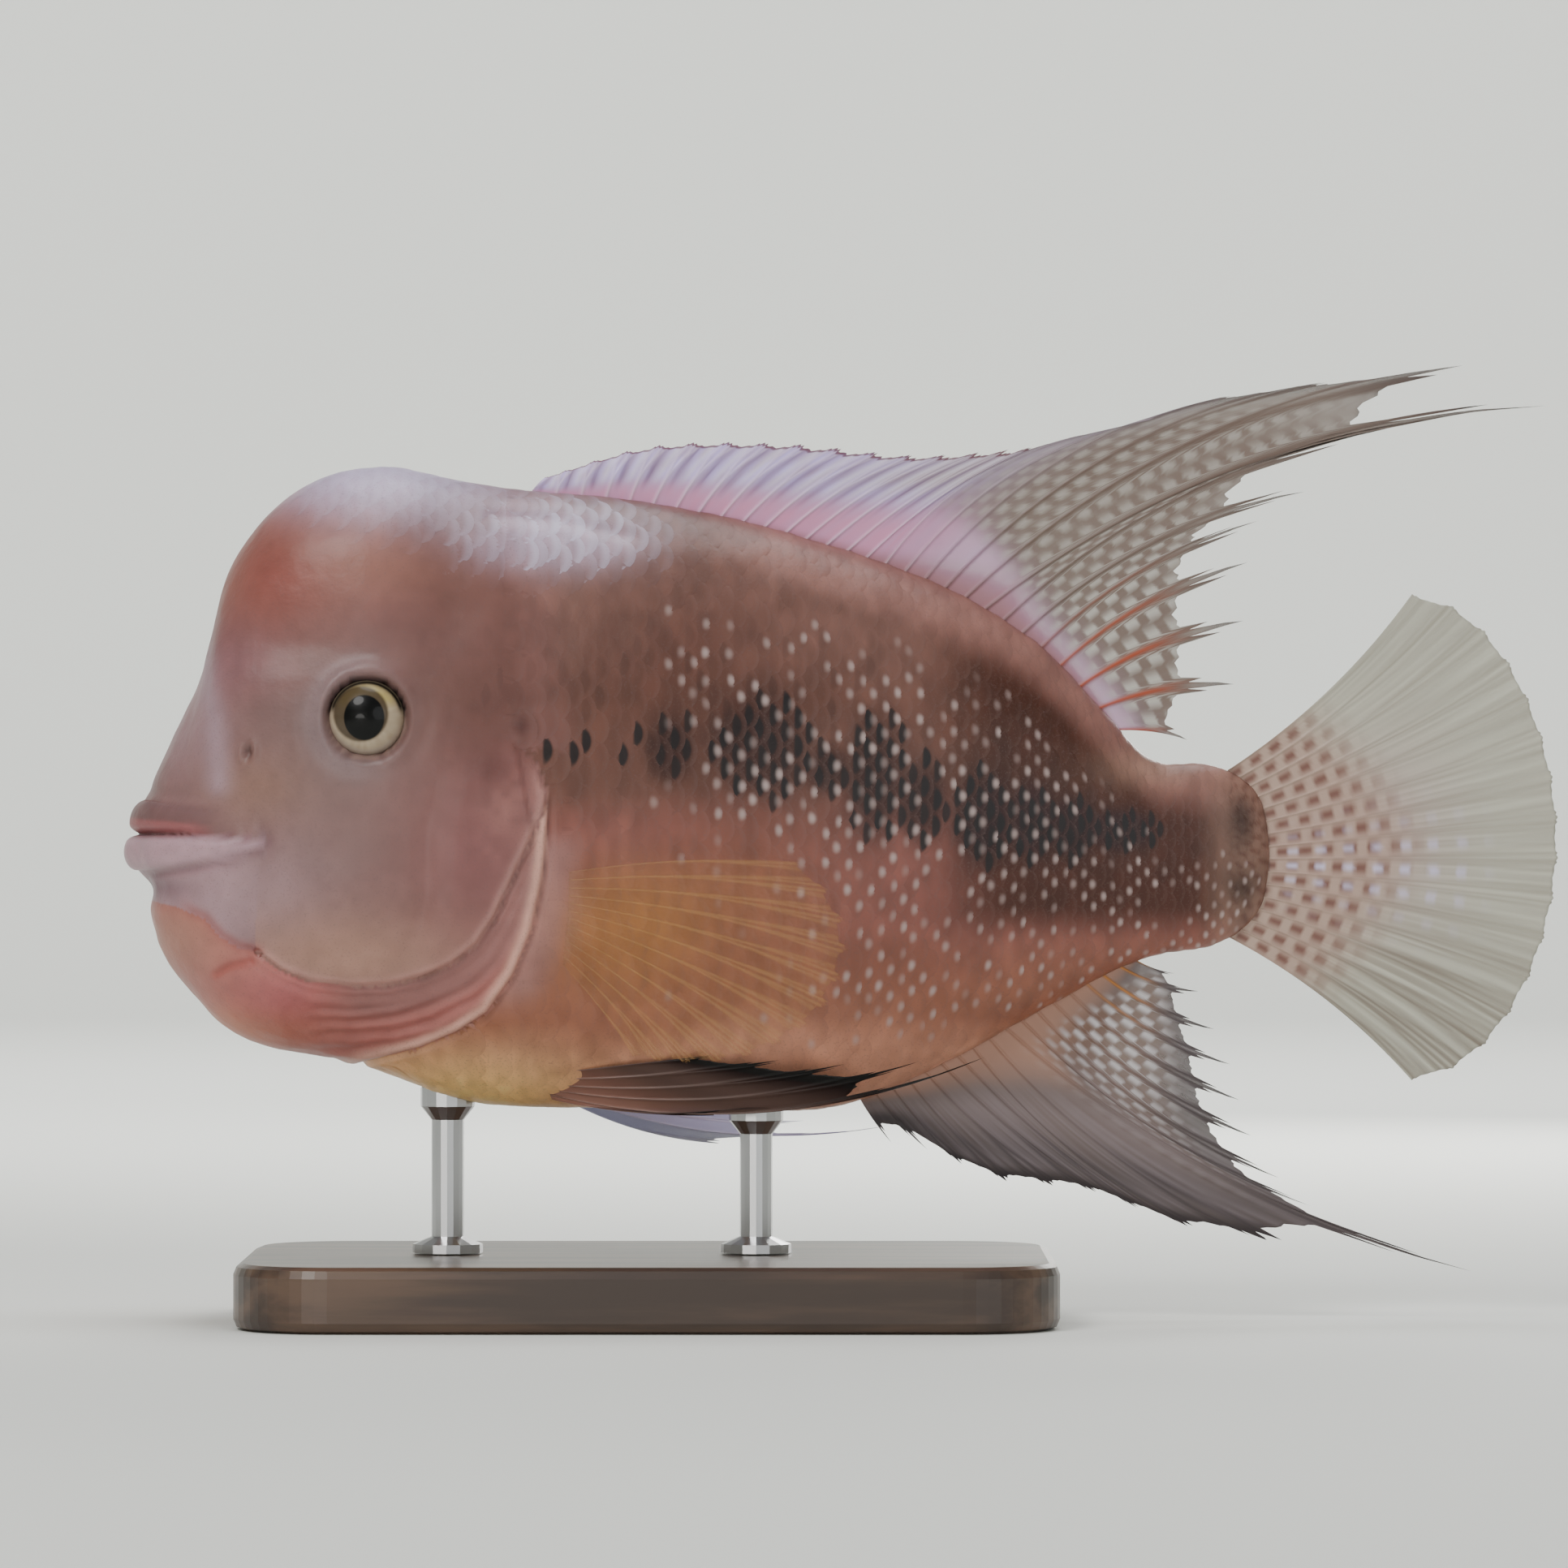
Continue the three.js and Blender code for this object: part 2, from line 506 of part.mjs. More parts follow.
const dorsalRays = Array.from({ length: dorsalCount }, (_, i) => {
  const x = lerp(72.5, 181, (i / (dorsalCount - 1)) ** 0.9);
  const base = [x, seatOn(1)(x)];
  if (i < DORSAL_SPINES) {
    return { base, tip: splined(SPINY_MARGIN, i / (DORSAL_SPINES - 1)), bow: 0.05, web: 0.94 };
  }
  const soft = i - DORSAL_SPINES;
  return { base, tip: SOFT_DORSAL_TIPS[soft], bow: 0.1 - soft * 0.004, web: SOFT_DORSAL_WEBS[soft] };
});
const dorsalForm = {
  rows: 6, webRows: 5, foot: [0.85, 0.5], ridge: [1.3, 0.45], web: [0.7, 0.28], seat: seatOn(1),
};
const dorsalWave = (x, z, u, v) => [x, 2 * Math.sin((x - 60) / 24) * v * v, z];
const spinyRays = dorsalRays.slice(0, DORSAL_SPINES);
const softRays = dorsalRays.slice(DORSAL_SPINES);
const spinyDorsal = finSolid({ ...dorsalForm, rays: spinyRays, after: softRays[0], place: dorsalWave });
const softDorsal = finSolid({ ...dorsalForm, rays: softRays, before: spinyRays.at(-1), place: dorsalWave });

// Anal fin: 7 spines, of which the first stand free, then 11 soft rays.
const ANAL_TIPS = [
  [140, -54.4], [146.6, -55.6], [153, -58.3], [161.3, -61.5], [169.8, -62.3], [177.8, -63.5],
  [185.3, -66.4], [194.7, -69.8], [209.3, -72.4], [247.3, -78.2], [217.4, -66.1], [211.7, -61],
  [206.6, -53.2], [204.4, -46.6], [202.7, -40], [199.7, -33.5], [196.8, -26.5], [192.5, -23.2],
];
const ANAL_WEBS = [
  0.6, 0.62, 0.9, 0.94, 0.95, 0.95, 0.95, 0.96, 0.93, 0.72, 0.84, 0.82, 0.8, 0.78, 0.76, 0.72, 0.7, 0.7,
];
const analRays = ANAL_TIPS.map((tip, i) => {
  const x = lerp(133.5, 184, i / (ANAL_TIPS.length - 1));
  return { base: [x, seatOn(-1)(x)], tip, bow: i < 7 ? -0.03 : -0.06, web: ANAL_WEBS[i] };
});
const analFin = finSolid({
  rays: analRays, rows: 6, webRows: 5, foot: [0.8, 0.5], ridge: [1.3, 0.45], web: [0.7, 0.28],
  place: median(-2, 4), seat: seatOn(-1),
});

// Caudal fin: a fan about a point inside the tail, with its corners rounded off.
const FAN = { x: 195.8, z: 2, radius: 67.3, top: 48, bottom: -48, rays: 16 };
const caudalRays = Array.from({ length: FAN.rays }, (_, i) => {
  const u = i / (FAN.rays - 1);
  const angle = THREE.MathUtils.degToRad(lerp(FAN.top, FAN.bottom, u));
  const reach = FAN.radius * (1 - 0.1 * Math.abs(2 * u - 1) ** 6);
  const base = [lerp(200.5, 204, Math.sin(Math.PI * u)), lerp(13.5, -15.8, u)];
  const tip = [FAN.x + reach * Math.cos(angle), FAN.z + reach * Math.sin(angle)];
  return { base, tip, bow: 0.05 * (2 * u - 1), web: 0.97 };
});
const caudalFin = finSolid({
  rays: caudalRays, rows: 6, webRows: 5, foot: [0.6, 0.8], ridge: [1.5, 0.45], web: [1, 0.28],
  place: median(2.6, 7),
}).subtract(bodyRoom);

// Pectoral fins: a rounded fan of 13 rays that trails along the flank.
const PECTORAL = { x: 79, top: -4.5, bottom: -20, rays: 13 };
const PECTORAL_REACH = [44, 49, 52, 53, 52.5, 51, 48.5, 45, 41, 36.5, 31.5, 27, 22.5];
const pectoralRootY = halfWidthAt(PECTORAL.x + 2, -12);
const pectoralRays = PECTORAL_REACH.map((reach, i) => {
  const u = i / (PECTORAL.rays - 1);
  const angle = THREE.MathUtils.degToRad(lerp(3, -52, u));
  const base = [PECTORAL.x + 1.2 * Math.sin(Math.PI * u), lerp(PECTORAL.top, PECTORAL.bottom, u)];
  const tip = [base[0] + reach * Math.cos(angle), base[1] + reach * Math.sin(angle)];
  return { base, tip, bow: 0.03, web: 0.97 };
});
function pectoralPlace(x, z) {
  const away = Math.max(0, x - PECTORAL.x);
  return [x, -(pectoralRootY - 2.2 + 4.6 * (1 - Math.exp(-away / 3)) + 0.1 * away), z];
}
const pectoralFin = largest(
  finSolid({
    rays: pectoralRays, rows: 5, webRows: 4, foot: [0.35, 0.6], ridge: [1.1, 0.42], web: [0.8, 0.28],
    place: pectoralPlace,
  }).subtract(bodyRoom),
);

// Pelvic fins: a spine and five soft rays each, the second the longest.
// The left one lies along the belly, and the right one hangs lower and spreads away.
function pelvicFin({ root, tips, bows, outward, side }) {
  const rays = tips.map((tip, i) => {
    const u = i / (tips.length - 1);
    const base = [root[0] - 1.5 * u, lerp(root[1] - 2.2, root[1] + 2.6, u)];
    return { base, tip, bow: bows[i], web: i === 1 ? 0.68 : 0.86 };
  });
  const place = (x, z, u, v) => [x, side * outward(x, z, v), z];
  return largest(
    finSolid({
      rays, rows: 7, webRows: 5, foot: [0.5, 0.7], ridge: [1.1, 0.42], web: [0.8, 0.28], place,
    }).subtract(bodyRoom),
  );
}
const PELVIC_ROOT = [77.5, -43.8];
const pelvicRootY = halfWidthAt(PELVIC_ROOT[0] + 1, PELVIC_ROOT[1]);
const leftPelvicFin = pelvicFin({
  root: PELVIC_ROOT,
  tips: [[107.3, -48.9], [156.9, -38], [144.6, -38.9], [131.3, -39.3], [119.3, -38.6], [107.3, -37.6]],
  bows: [-0.03, -0.085, -0.06, -0.04, -0.02, 0],
  outward: (x, z, v) =>
    pelvicRootY - 2 + 4.4 * (1 - Math.exp(-v * 9)) + (z - PELVIC_ROOT[1]) * 0.55 * Math.min(1, v * 4),
  side: -1,
});
const rightPelvicFin = pelvicFin({
  root: PELVIC_ROOT,
  tips: [[108, -55.9], [139.5, -52.6], [124, -51.6], [116.3, -50.4], [108.8, -49.2], [100, -48.2]],
  bows: [-0.06, -0.075, -0.05, -0.03, -0.02, 0],
  outward: (x, z, v) => pelvicRootY - 2 + 5 * (1 - Math.exp(-v * 9)) + 15 * v ** 1.2,
  side: 1,
});

// The stand: a bevelled plate and two rods, each with a foot collar and a saddle under the belly.
function roundedPlate(length, depth, corner) {
  const [a, b] = [length / 2 - corner, depth / 2 - corner];
  const shape = new THREE.Shape();
  shape.absarc(a, b, corner, 0, Math.PI / 2);
  shape.absarc(-a, b, corner, Math.PI / 2, Math.PI);
  shape.absarc(-a, -b, corner, Math.PI, 1.5 * Math.PI);
  shape.absarc(a, -b, corner, 1.5 * Math.PI, 2 * Math.PI);
  return shape;
}
const plateShape = roundedPlate(BASE_LENGTH - 2 * BASE_BEVEL, BASE_DEPTH - 2 * BASE_BEVEL, 16);
const baseTop = BASE_HEIGHT - AXIS_HEIGHT;
const plate = {
  depth: BASE_HEIGHT - 2 * BASE_BEVEL, bevelThickness: BASE_BEVEL, bevelSize: BASE_BEVEL, bevelSegments: 2,
  curveSegments: 6,
};
const standBase = solid(
  new THREE.ExtrudeGeometry(plateShape, plate).translate(STAND_CENTRE_X, 0, -AXIS_HEIGHT + BASE_BEVEL),
);

function standRod(x) {
  const foot = baseTop + SEAM;
  const belly = outlineAt(x, -1);
  const profile = [
    [0, foot], [6.5, foot], [6.5, foot + 1.6], [ROD_RADIUS, foot + 3], [ROD_RADIUS, belly - 4.5],
    [5, belly - 2], [5, belly + 3], [0, belly + 3],
  ].map(([radius, z]) => new THREE.Vector2(radius, z));
  const turned = new THREE.LatheGeometry(profile, 16).rotateX(Math.PI / 2).translate(x, 0, 0);
  return largest(solid(turned).subtract(bodyRoom));
}

// The group of named meshes.
const FINISHES = {
  face: { color: 0xa98b8f, roughness: 0.42 },
  hump: { color: 0xb58a8c, roughness: 0.4 },
  throat: { color: 0xc48a7c, roughness: 0.42 },
  flank: { color: 0x96685f, roughness: 0.4 },
  fin: { color: 0x8d827c, roughness: 0.45 },
  eye: { color: 0xcfc9a8, roughness: 0.1 },
  wood: { color: 0x3a2519, roughness: 0.45 },
  steel: { color: 0xb8babd, roughness: 0.3 },
};
const fish = new THREE.Group();
fish.position.set(-STAND_CENTRE_X, 0, AXIS_HEIGHT);

function addPart(name, made, finish) {
  const mesh = new THREE.Mesh(
    geometryOf(largest(made)),
    new THREE.MeshStandardMaterial({ ...FINISHES[finish], metalness: finish === "steel" ? 1 : 0 }),
  );
  mesh.name = name;
  fish.add(mesh);
}

addPart("head", headSolid, "face");
addPart("nuchal_hump", bodyPart(humpOutline), "hump");
addPart("lower_jaw", jawSolid, "face");
addPart("throat", bodyPart(throatOutline, FLANK_SWELL.throat), "throat");
addPart("gill_cover_left", gillPlate, "face");
addPart("gill_cover_right", mirrored(largest(gillPlate)), "face");
addPart("eye_left", eyeball(0), "eye");
addPart("eye_right", mirrored(eyeball(0)), "eye");
addPart("torso", bodyPart(torsoOutline), "flank");
addPart("caudal_peduncle", bodyPart(tailOutline), "flank");
addPart("dorsal_fin_spiny", spinyDorsal, "fin");
addPart("dorsal_fin_soft", softDorsal, "fin");
addPart("caudal_fin", caudalFin, "fin");
addPart("anal_fin", analFin, "fin");
addPart("pectoral_fin_left", pectoralFin, "fin");
addPart("pectoral_fin_right", mirrored(pectoralFin), "fin");
addPart("pelvic_fin_left", leftPelvicFin, "fin");
addPart("pelvic_fin_right", rightPelvicFin, "fin");
addPart("stand_base", standBase, "wood");
ROD_STATIONS.forEach((x, i) => addPart(`stand_rod_${["front", "rear"][i]}`, standRod(x), "steel"));

const model = new THREE.Group();
model.add(fish);

export default model;
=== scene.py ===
"""A life-size display model of a flowerhorn cichlid on a low stand: skin, scales, fins, eyes and stand.

Shapes are worked out in the fish's own frame in millimetres, x from the lips towards the tail and z up from
the body's axis, with the fish's left side at negative y, and are moved over the stand as they are made.
"""
import math

import bpy
import numpy as np
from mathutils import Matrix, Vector
from mathutils.bvhtree import BVHTree

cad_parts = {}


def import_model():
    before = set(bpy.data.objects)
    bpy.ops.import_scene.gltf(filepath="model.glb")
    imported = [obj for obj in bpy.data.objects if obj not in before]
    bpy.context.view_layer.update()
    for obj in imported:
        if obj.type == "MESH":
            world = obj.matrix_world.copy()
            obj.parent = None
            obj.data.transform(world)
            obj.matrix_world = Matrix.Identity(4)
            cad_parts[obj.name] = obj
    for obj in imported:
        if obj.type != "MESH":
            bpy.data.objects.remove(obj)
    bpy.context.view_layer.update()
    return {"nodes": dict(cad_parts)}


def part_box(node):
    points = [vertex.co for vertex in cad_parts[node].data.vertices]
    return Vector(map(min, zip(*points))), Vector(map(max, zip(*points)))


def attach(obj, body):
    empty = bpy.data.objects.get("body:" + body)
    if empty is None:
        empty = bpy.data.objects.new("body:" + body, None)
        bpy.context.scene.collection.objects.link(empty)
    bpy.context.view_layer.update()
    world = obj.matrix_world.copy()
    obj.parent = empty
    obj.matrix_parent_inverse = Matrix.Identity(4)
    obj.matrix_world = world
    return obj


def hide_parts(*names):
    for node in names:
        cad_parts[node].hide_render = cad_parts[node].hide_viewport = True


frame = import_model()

rng = np.random.default_rng(11)

# The fish's frame in the stand's frame, in millimetres.
SHIFT = np.array([-95.25, 0.0, 87.0])
EYE_X, EYE_Z = 44.3, 23.9
NOSTRIL_X, NOSTRIL_Z = 22.5, 17.6
TAIL_X, TAIL_Z = 195.8, 2.0  # where the lines of the caudal rays meet
CAUDAL_RAYS, CAUDAL_REACH, CAUDAL_HALF_ANGLE = 16, 67.3, 48

# Body sections from lip to tail: dorsal point, ventral point, half-width, the share of the height at which
# it is widest, and how full it is above and below.
STATIONS = np.array([
    [0, 0.6, 0, 0.6, 0, 0.5, 2, 2],
    [0.3, 3.8, 0.1, -2, 3.4, 0.5, 2.2, 2.2],
    [1.1, 6.6, 0.6, -3.9, 6.2, 0.5, 2.2, 2.2],
    [3.9, 13, 2.6, -7.8, 9.8, 0.5, 2.1, 2.2],
    [7.6, 21.2, 3.5, -13, 12.8, 0.55, 2, 2.3],
    [12.3, 31.3, 5.8, -20, 16.2, 0.58, 2, 2.3],
    [14.9, 41, 11, -26.8, 19.6, 0.62, 2.1, 2.3],
    [18, 51.8, 17.5, -33.4, 22.4, 0.64, 2.2, 2.3],
    [25.5, 62.2, 26, -37, 24.8, 0.65, 2.3, 2.3],
    [35.5, 68.6, 36, -38.6, 26.6, 0.65, 2.3, 2.3],
    [47, 70.4, 47, -41.6, 27.9, 0.64, 2.3, 2.3],
    [59, 68.2, 59, -46, 28.5, 0.62, 2.1, 2.3],
    [72, 66, 72, -47.7, 28.5, 0.6, 1.9, 2.3],
    [90, 64.6, 90, -48, 27.4, 0.58, 1.8, 2.25],
    [110, 61, 110, -48.2, 25, 0.57, 1.8, 2.2],
    [130, 55.5, 129, -47.9, 21.5, 0.56, 1.8, 2.1],
    [149, 48.6, 146, -41.4, 17.2, 0.55, 1.8, 2],
    [166, 38.6, 164, -32, 13.2, 0.54, 1.85, 2],
    [178, 26.6, 178, -24.2, 10, 0.53, 1.9, 2],
    [188, 16.4, 188, -20, 7.6, 0.52, 2, 2],
    [198, 15.6, 198, -18.2, 5.6, 0.5, 2, 2],
    [204.5, 13, 204.5, -15.2, 3.6, 0.5, 2, 2],
    [208.5, 8, 208.5, -10, 1.8, 0.5, 2, 2],
    [210, -1, 210, -1, 0, 0.5, 2, 2],
])
LAST = len(STATIONS) - 1

# Soft swellings and hollows of the flank: centre x and z, reach along x and z, height.
SWELLINGS = [
    (36, 56, 20, 11, 2.4), (28, 38, 15, 5, -1.6), (59, 44, 9, 9, -1.2), (40, -6, 17, 15, 1.3),
    (17, 15, 8, 8, -1.1), (22, -27, 11, 7, 1.0), (86, 10, 9, 24, -1.0),
]

# Lines of the head in side view.
MOUTH = [(-6, 2.8), (3, 2.75), (12, 2.6), (19, 2.3), (25.3, 1.5)]
JAW_BACK = [(25.3, 1.5), (24.6, -6), (24.1, -13), (23.9, -18.9)]
CHIN_FOLD = [(23.9, -18.9), (20.3, -18.1), (17.1, -16.2), (14.2, -12.9), (9, -10.7), (3, -9.7), (-6, -9.6)]
GILL_RIM = [
    (23.9, -18.9), (28.5, -22.2), (34, -24.4), (41, -25.4), (48, -25.2), (54.5, -23.6), (60, -21.2),
    (64.6, -17.6), (68, -12.5), (71, -6), (74.6, 1.5), (77.4, 9), (75.6, 15.4), (71.4, 19.5), (66, 21.6),
]
ABOVE_LIP = [(4, 10.4), (13, 9.8), (19, 8.0)]
UNDER_LIP = [(4, -4.8), (12, -3.7), (19, -2.2), (24.6, -0.8), (26.4, 1.4), (25, 3)]
CHIN_PIT = [(23, -20.5), (19, -21.3), (16.5, -22.8)]
PREOPERCLE = [(48, -25.2), (53, -17), (55, -8), (55, 3), (57, 13), (63, 20)]
MEMBRANE_RIM = [
    (77.4, 9), (77.6, 3.4), (76.6, -6), (74.6, -15), (71.2, -23.2), (66.4, -30), (60.6, -33.8), (54, -36.6),
    (46, -38.9), (38.5, -41), (36, -90),
]
DORSAL_GROOVE = [(66, 61), (78, 60.4), (92, 57.4)]
# Line of a painted highlight on the muzzle's front corner.
MUZZLE_HIGHLIGHT_LINE = [(13, 36), (16, 24), (17, 12)]
NAPE = [(71.4, 19.5), (69.5, 30), (68.5, 42), (68.5, 54), (69.5, 90)]
HUMP_LINE = [(-6, 37), (14, 37), (26, 37.5), (40, 38.5), (52, 42), (62, 48), (68.5, 54)]
HEAD = MOUTH + JAW_BACK[1:] + GILL_RIM[1:-1] + NAPE[1:] + [(-6, 90)]
GILL_PLATE = PREOPERCLE + [(71.4, 19.5)] + GILL_RIM[::-1][2:11]
JAW = MOUTH + JAW_BACK[1:] + CHIN_FOLD[1:]
THROAT = CHIN_FOLD[::-1] + GILL_RIM[1:12] + MEMBRANE_RIM[1:] + [(-6, -90)]


def smooth(t):
    t = np.clip(t, 0, 1)
    return t * t * (3 - 2 * t)


def past(value, start, over):
    """0 up to start, easing to 1 at start + over."""
    return smooth((value - start) / over)


def before(value, end, over):
    """1 up to end - over, easing to 0 at end."""
    return smooth((end - value) / over)


def bell(d, width):
    return np.exp(-((d / width) ** 2))


def blob(x, z, cx, cz, rx, rz, power=1.0):
    """1 at the centre of a soft oval, falling to 0 outside it."""
    return np.exp(-((((x - cx) / rx) ** 2 + ((z - cz) / rz) ** 2) ** power))


def along(values, s):
    """A uniform Catmull-Rom curve through the rows of values at parameters s."""
    values = np.asarray(values, float)
    last = len(values) - 1
    s = np.asarray(s, float)
    i = np.clip(np.floor(s).astype(int), 0, last - 1)
    t = (s - i).reshape(s.shape + (1,) * (values.ndim - 1))
    a, b, c, d = (values[np.clip(i + k, 0, last)] for k in (-1, 0, 1, 2))
    return b + 0.5 * t * (c - a + t * (2 * a - 5 * b + 4 * c - d + t * (3 * (b - c) + d - a)))


def line_distance(x, z, line):
    """Distance to a side-view line, and on which hand of it a point lies (+1 left, -1 right)."""
    best = np.full(x.shape, 1e9)
    hand = np.ones(x.shape)
    for (ax, az), (bx, bz) in zip(line[:-1], line[1:]):
        rx, rz = bx - ax, bz - az
        t = np.clip(((x - ax) * rx + (z - az) * rz) / (rx * rx + rz * rz), 0, 1)
        dx, dz = x - ax - rx * t, z - az - rz * t
        d = np.hypot(dx, dz)
        nearer = d < best
        best = np.where(nearer, d, best)
        hand = np.where(nearer, np.sign(rx * dz - rz * dx), hand)
    return best, hand


def seam(x, z, line, width):
    """1 on a side-view line, falling to 0 beside it."""
    return bell(line_distance(x, z, line)[0], width)


def inside(x, z, outline):
    """Whether each point lies in a closed side-view outline."""
    held = np.zeros(x.shape, bool)
    for (ax, az), (bx, bz) in zip(outline, outline[1:] + outline[:1]):
        if az != bz:
            held ^= ((az > z) != (bz > z)) & (x < (bx - ax) * (z - az) / (bz - az) + ax)
    return held


def noise(points, cell, seed):
    """Smooth value noise from -1 to 1 at points in millimetres."""
    p = points / cell
    base = np.floor(p).astype(np.int64)
    f = p - base
    f = f * f * (3 - 2 * f)
    total = np.zeros(p.shape[:-1])
    for corner in range(8):
        step = np.array([corner & 1, corner >> 1 & 1, corner >> 2 & 1])
        k = base + step
        h = (k[..., 0] * 73856093) ^ (k[..., 1] * 19349663) ^ (k[..., 2] * 83492791) ^ (seed * 2654435761)
        h = (h ^ (h >> 13)) * 1274126177 & 0xFFFFFFFF
        value = ((h ^ (h >> 16)) & 0xFFFF) / 32767.5 - 1
        weight = np.prod(np.where(step == 1, f, 1 - f), axis=-1)
        total += value * weight
    return total


def flank_swell(x, z):
    """How far the head's plates and the body's swellings stand out sideways."""
    out = sum(rise * blob(x, z, cx, cz, rx, rz) for cx, cz, rx, rz, rise in SWELLINGS)
    nape, nape_hand = line_distance(x, z, NAPE)
    ahead = smooth(0.5 + nape * nape_hand / 12)
    hump, hump_hand = line_distance(x, z, HUMP_LINE)
    on_hump = (hump_hand > 0) & (x < 69.5)
    rim, crease, throat_rim, jaw_edge = (
        line_distance(x, z, line)[0] for line in (GILL_RIM, PREOPERCLE, MEMBRANE_RIM, CHIN_FOLD)
    )
    in_head = inside(x, z, HEAD)
    head = ahead * np.where(on_hump, 1 - smooth(hump / 14), 1.0)
    above = past(z, 18, 5)
    plate = inside(x, z, GILL_PLATE) * smooth(crease / 6) * 0.7 * before(z, 19, 9)
    stepped = 1 - (1 - smooth(rim / 0.9)) * (1 - above)
    out += np.where(in_head, (head + plate) * stepped, above * ahead * (z > 17))
    out += inside(x, z, THROAT) * 0.65 * smooth(throat_rim / 0.9)
    out += inside(x, z, JAW) * (0.65 + 0.35 * smooth(jaw_edge / 5))
    return out


def lip_roll(x, z, centre, height, depth):
    """The roll of a lip, each size given at the front and at the mouth's corner, where it ends round."""
    t = smooth(x / 24.5)
    middle, tall, deep = (a + (b - a) * t for a, b in (centre, height, depth))
    tall = tall * np.sqrt(np.clip(1 - (np.maximum(0, x - 18.5) / 7.2) ** 2, 1e-4, 1))
    return deep * np.clip(1 - ((z - middle) / tall) ** 2, 0, 1) ** 0.6 * (x < 25.6)


def relief(points):
    """Fine relief of the skin along its normal, in millimetres."""
    x, y, z = np.moveaxis(points, -1, 0)
    out = lip_roll(x, z, (5.9, 4.2), (3.0, 1.6), (1.4, 0.1)) * before(x, 20, 8)
    out += lip_roll(x, z, (-0.8, 0.8), (3.3, 2.5), (1.7, 0.9))
    out -= 0.9 * seam(x, z, MOUTH, 0.7) * before(x, 26, 4)
    out -= 0.45 * seam(x, z, ABOVE_LIP, 1.3) * before(x, 21, 8)
    out -= 0.5 * seam(x, z, UNDER_LIP, 0.9)
    out -= 1.2 * blob(x, z, 5, -7.6, 8, 2.6)
    out -= 0.45 * seam(x, z, CHIN_FOLD[:5], 1.3) * past(x, 8, 6)
    out += 0.5 * blob(x, z, 26, -24, 9, 3.4)
    out -= 0.5 * seam(x, z, CHIN_PIT, 0.6)
    out -= 0.35 * seam(x, z, PREOPERCLE, 1.6) * past(z, -24, 8) * before(z, 8, 10)
    rim, rim_hand = line_distance(x, z, GILL_RIM[:-1])
    out -= (0.65 * bell(rim, 0.55) + 0.3 * bell(rim - 1.6, 0.8) * (rim_hand < 0)) * before(z, 21, 8)
    edge, edge_hand = line_distance(x, z, MEMBRANE_RIM)
    out -= 0.8 * bell(edge, 0.45)
    out += 0.35 * bell(edge - 1.4, 0.9) * (edge_hand < 0)
    # Soft streaky folds of the throat, running along the gill rim.
    folds = inside(x, z, THROAT) * past(x, 30, 8) * smooth(edge / 3) * past(rim, 2.5, 2)
    out += folds * 0.2 * np.sin(rim * 2.4 + 0.2 * x + 2.2 * noise(points, 8, 3))
    out -= 0.5 * seam(x, z, DORSAL_GROOVE, 1.1) * (np.abs(y) > 4)
    # Orbit: a soft rim, fuller above and in front, round the socket that holds the eye.
    r = np.hypot(x - EYE_X, z - EYE_Z)
    turn = np.arctan2(z - EYE_Z, x - EYE_X)
    out += 0.6 * bell(r - 8.2, 1.7) * (1 + 0.35 * np.cos(turn - 2.4)) - 0.15 * bell(r - 11.4, 1.6)
    out += 0.2 * bell(r - 13 - 0.6 * np.sin(turn * 2), 1.4) * smooth((0.5 - np.sin(turn)) / 0.7)
    out += 0.35 * bell(r - 8.2, 1.2) * smooth((np.sin(turn) - 0.1) / 0.5)
    out -= 2.1 * before(r, 8.4, 1.6) + 2.2 * before(r, 6.8, 0.7)
    # Pit at the top of the gill opening, nostril, and a fine unevenness all over.
    out -= 0.7 * bell(np.hypot(x - 72.6, z - 22.6), 1.5) - 0.4 * bell(np.hypot(x - 72, z - 25.5), 1.6)
    nostril = np.hypot(x - NOSTRIL_X, (z - NOSTRIL_Z) / 1.25)
    out += 0.55 * bell(nostril - 1.5, 0.6) - 1.4 * bell(nostril, 0.7)
    out += 0.06 * noise(points, 2.2, 5) + 0.12 * noise(points, 6, 6)
    return out


def body(s, a):
    """Points of the body at station parameters s and angles a, 0 on the back and half a turn on the belly."""
    k = along(STATIONS, s)
    tx, tz, bx, bz, half, widest, above, below = np.moveaxis(k, -1, 0)
    c, sn = np.cos(a), np.sin(a)
    power = 2 / np.where(c > 0, above, below)
    reach = np.abs(c) ** power
    share = np.where(c > 0, widest * (1 - reach), widest + (1 - widest) * reach)
    x = tx + (bx - tx) * share
    z = tz + (bz - tz) * share
    flank = np.maximum(half, 0) * np.abs(sn) ** power
    flank = np.maximum(0, flank + flank_swell(x, z) * np.minimum(1, flank / 8))
    return np.stack([x, np.sign(sn) * flank, z], axis=-1)


# Colours, as red, green and blue out of 255 on a screen.
def linear(colour):
    c = np.asarray(colour, float) / 255
    return np.where(c <= 0.04045, c / 12.92, ((c + 0.055) / 1.055) ** 2.4)


def painted(base, shape, layers):
    """A colour with others laid over it in turn, each with a mask that says how much of it shows."""
    c = np.broadcast_to(linear(base), shape + (3,))
    for colour, mask in layers:
        mask = np.clip(mask, 0, 1)[..., None]
        c = c * (1 - mask) + linear(colour) * mask
    return c


def patches(x, z, rows, within=1.0):
    """Layers of soft ovals, from each one's colour and share, then its centre and reach."""
    return [(colour, share * blob(x, z, *oval) * within) for colour, share, *oval in rows]
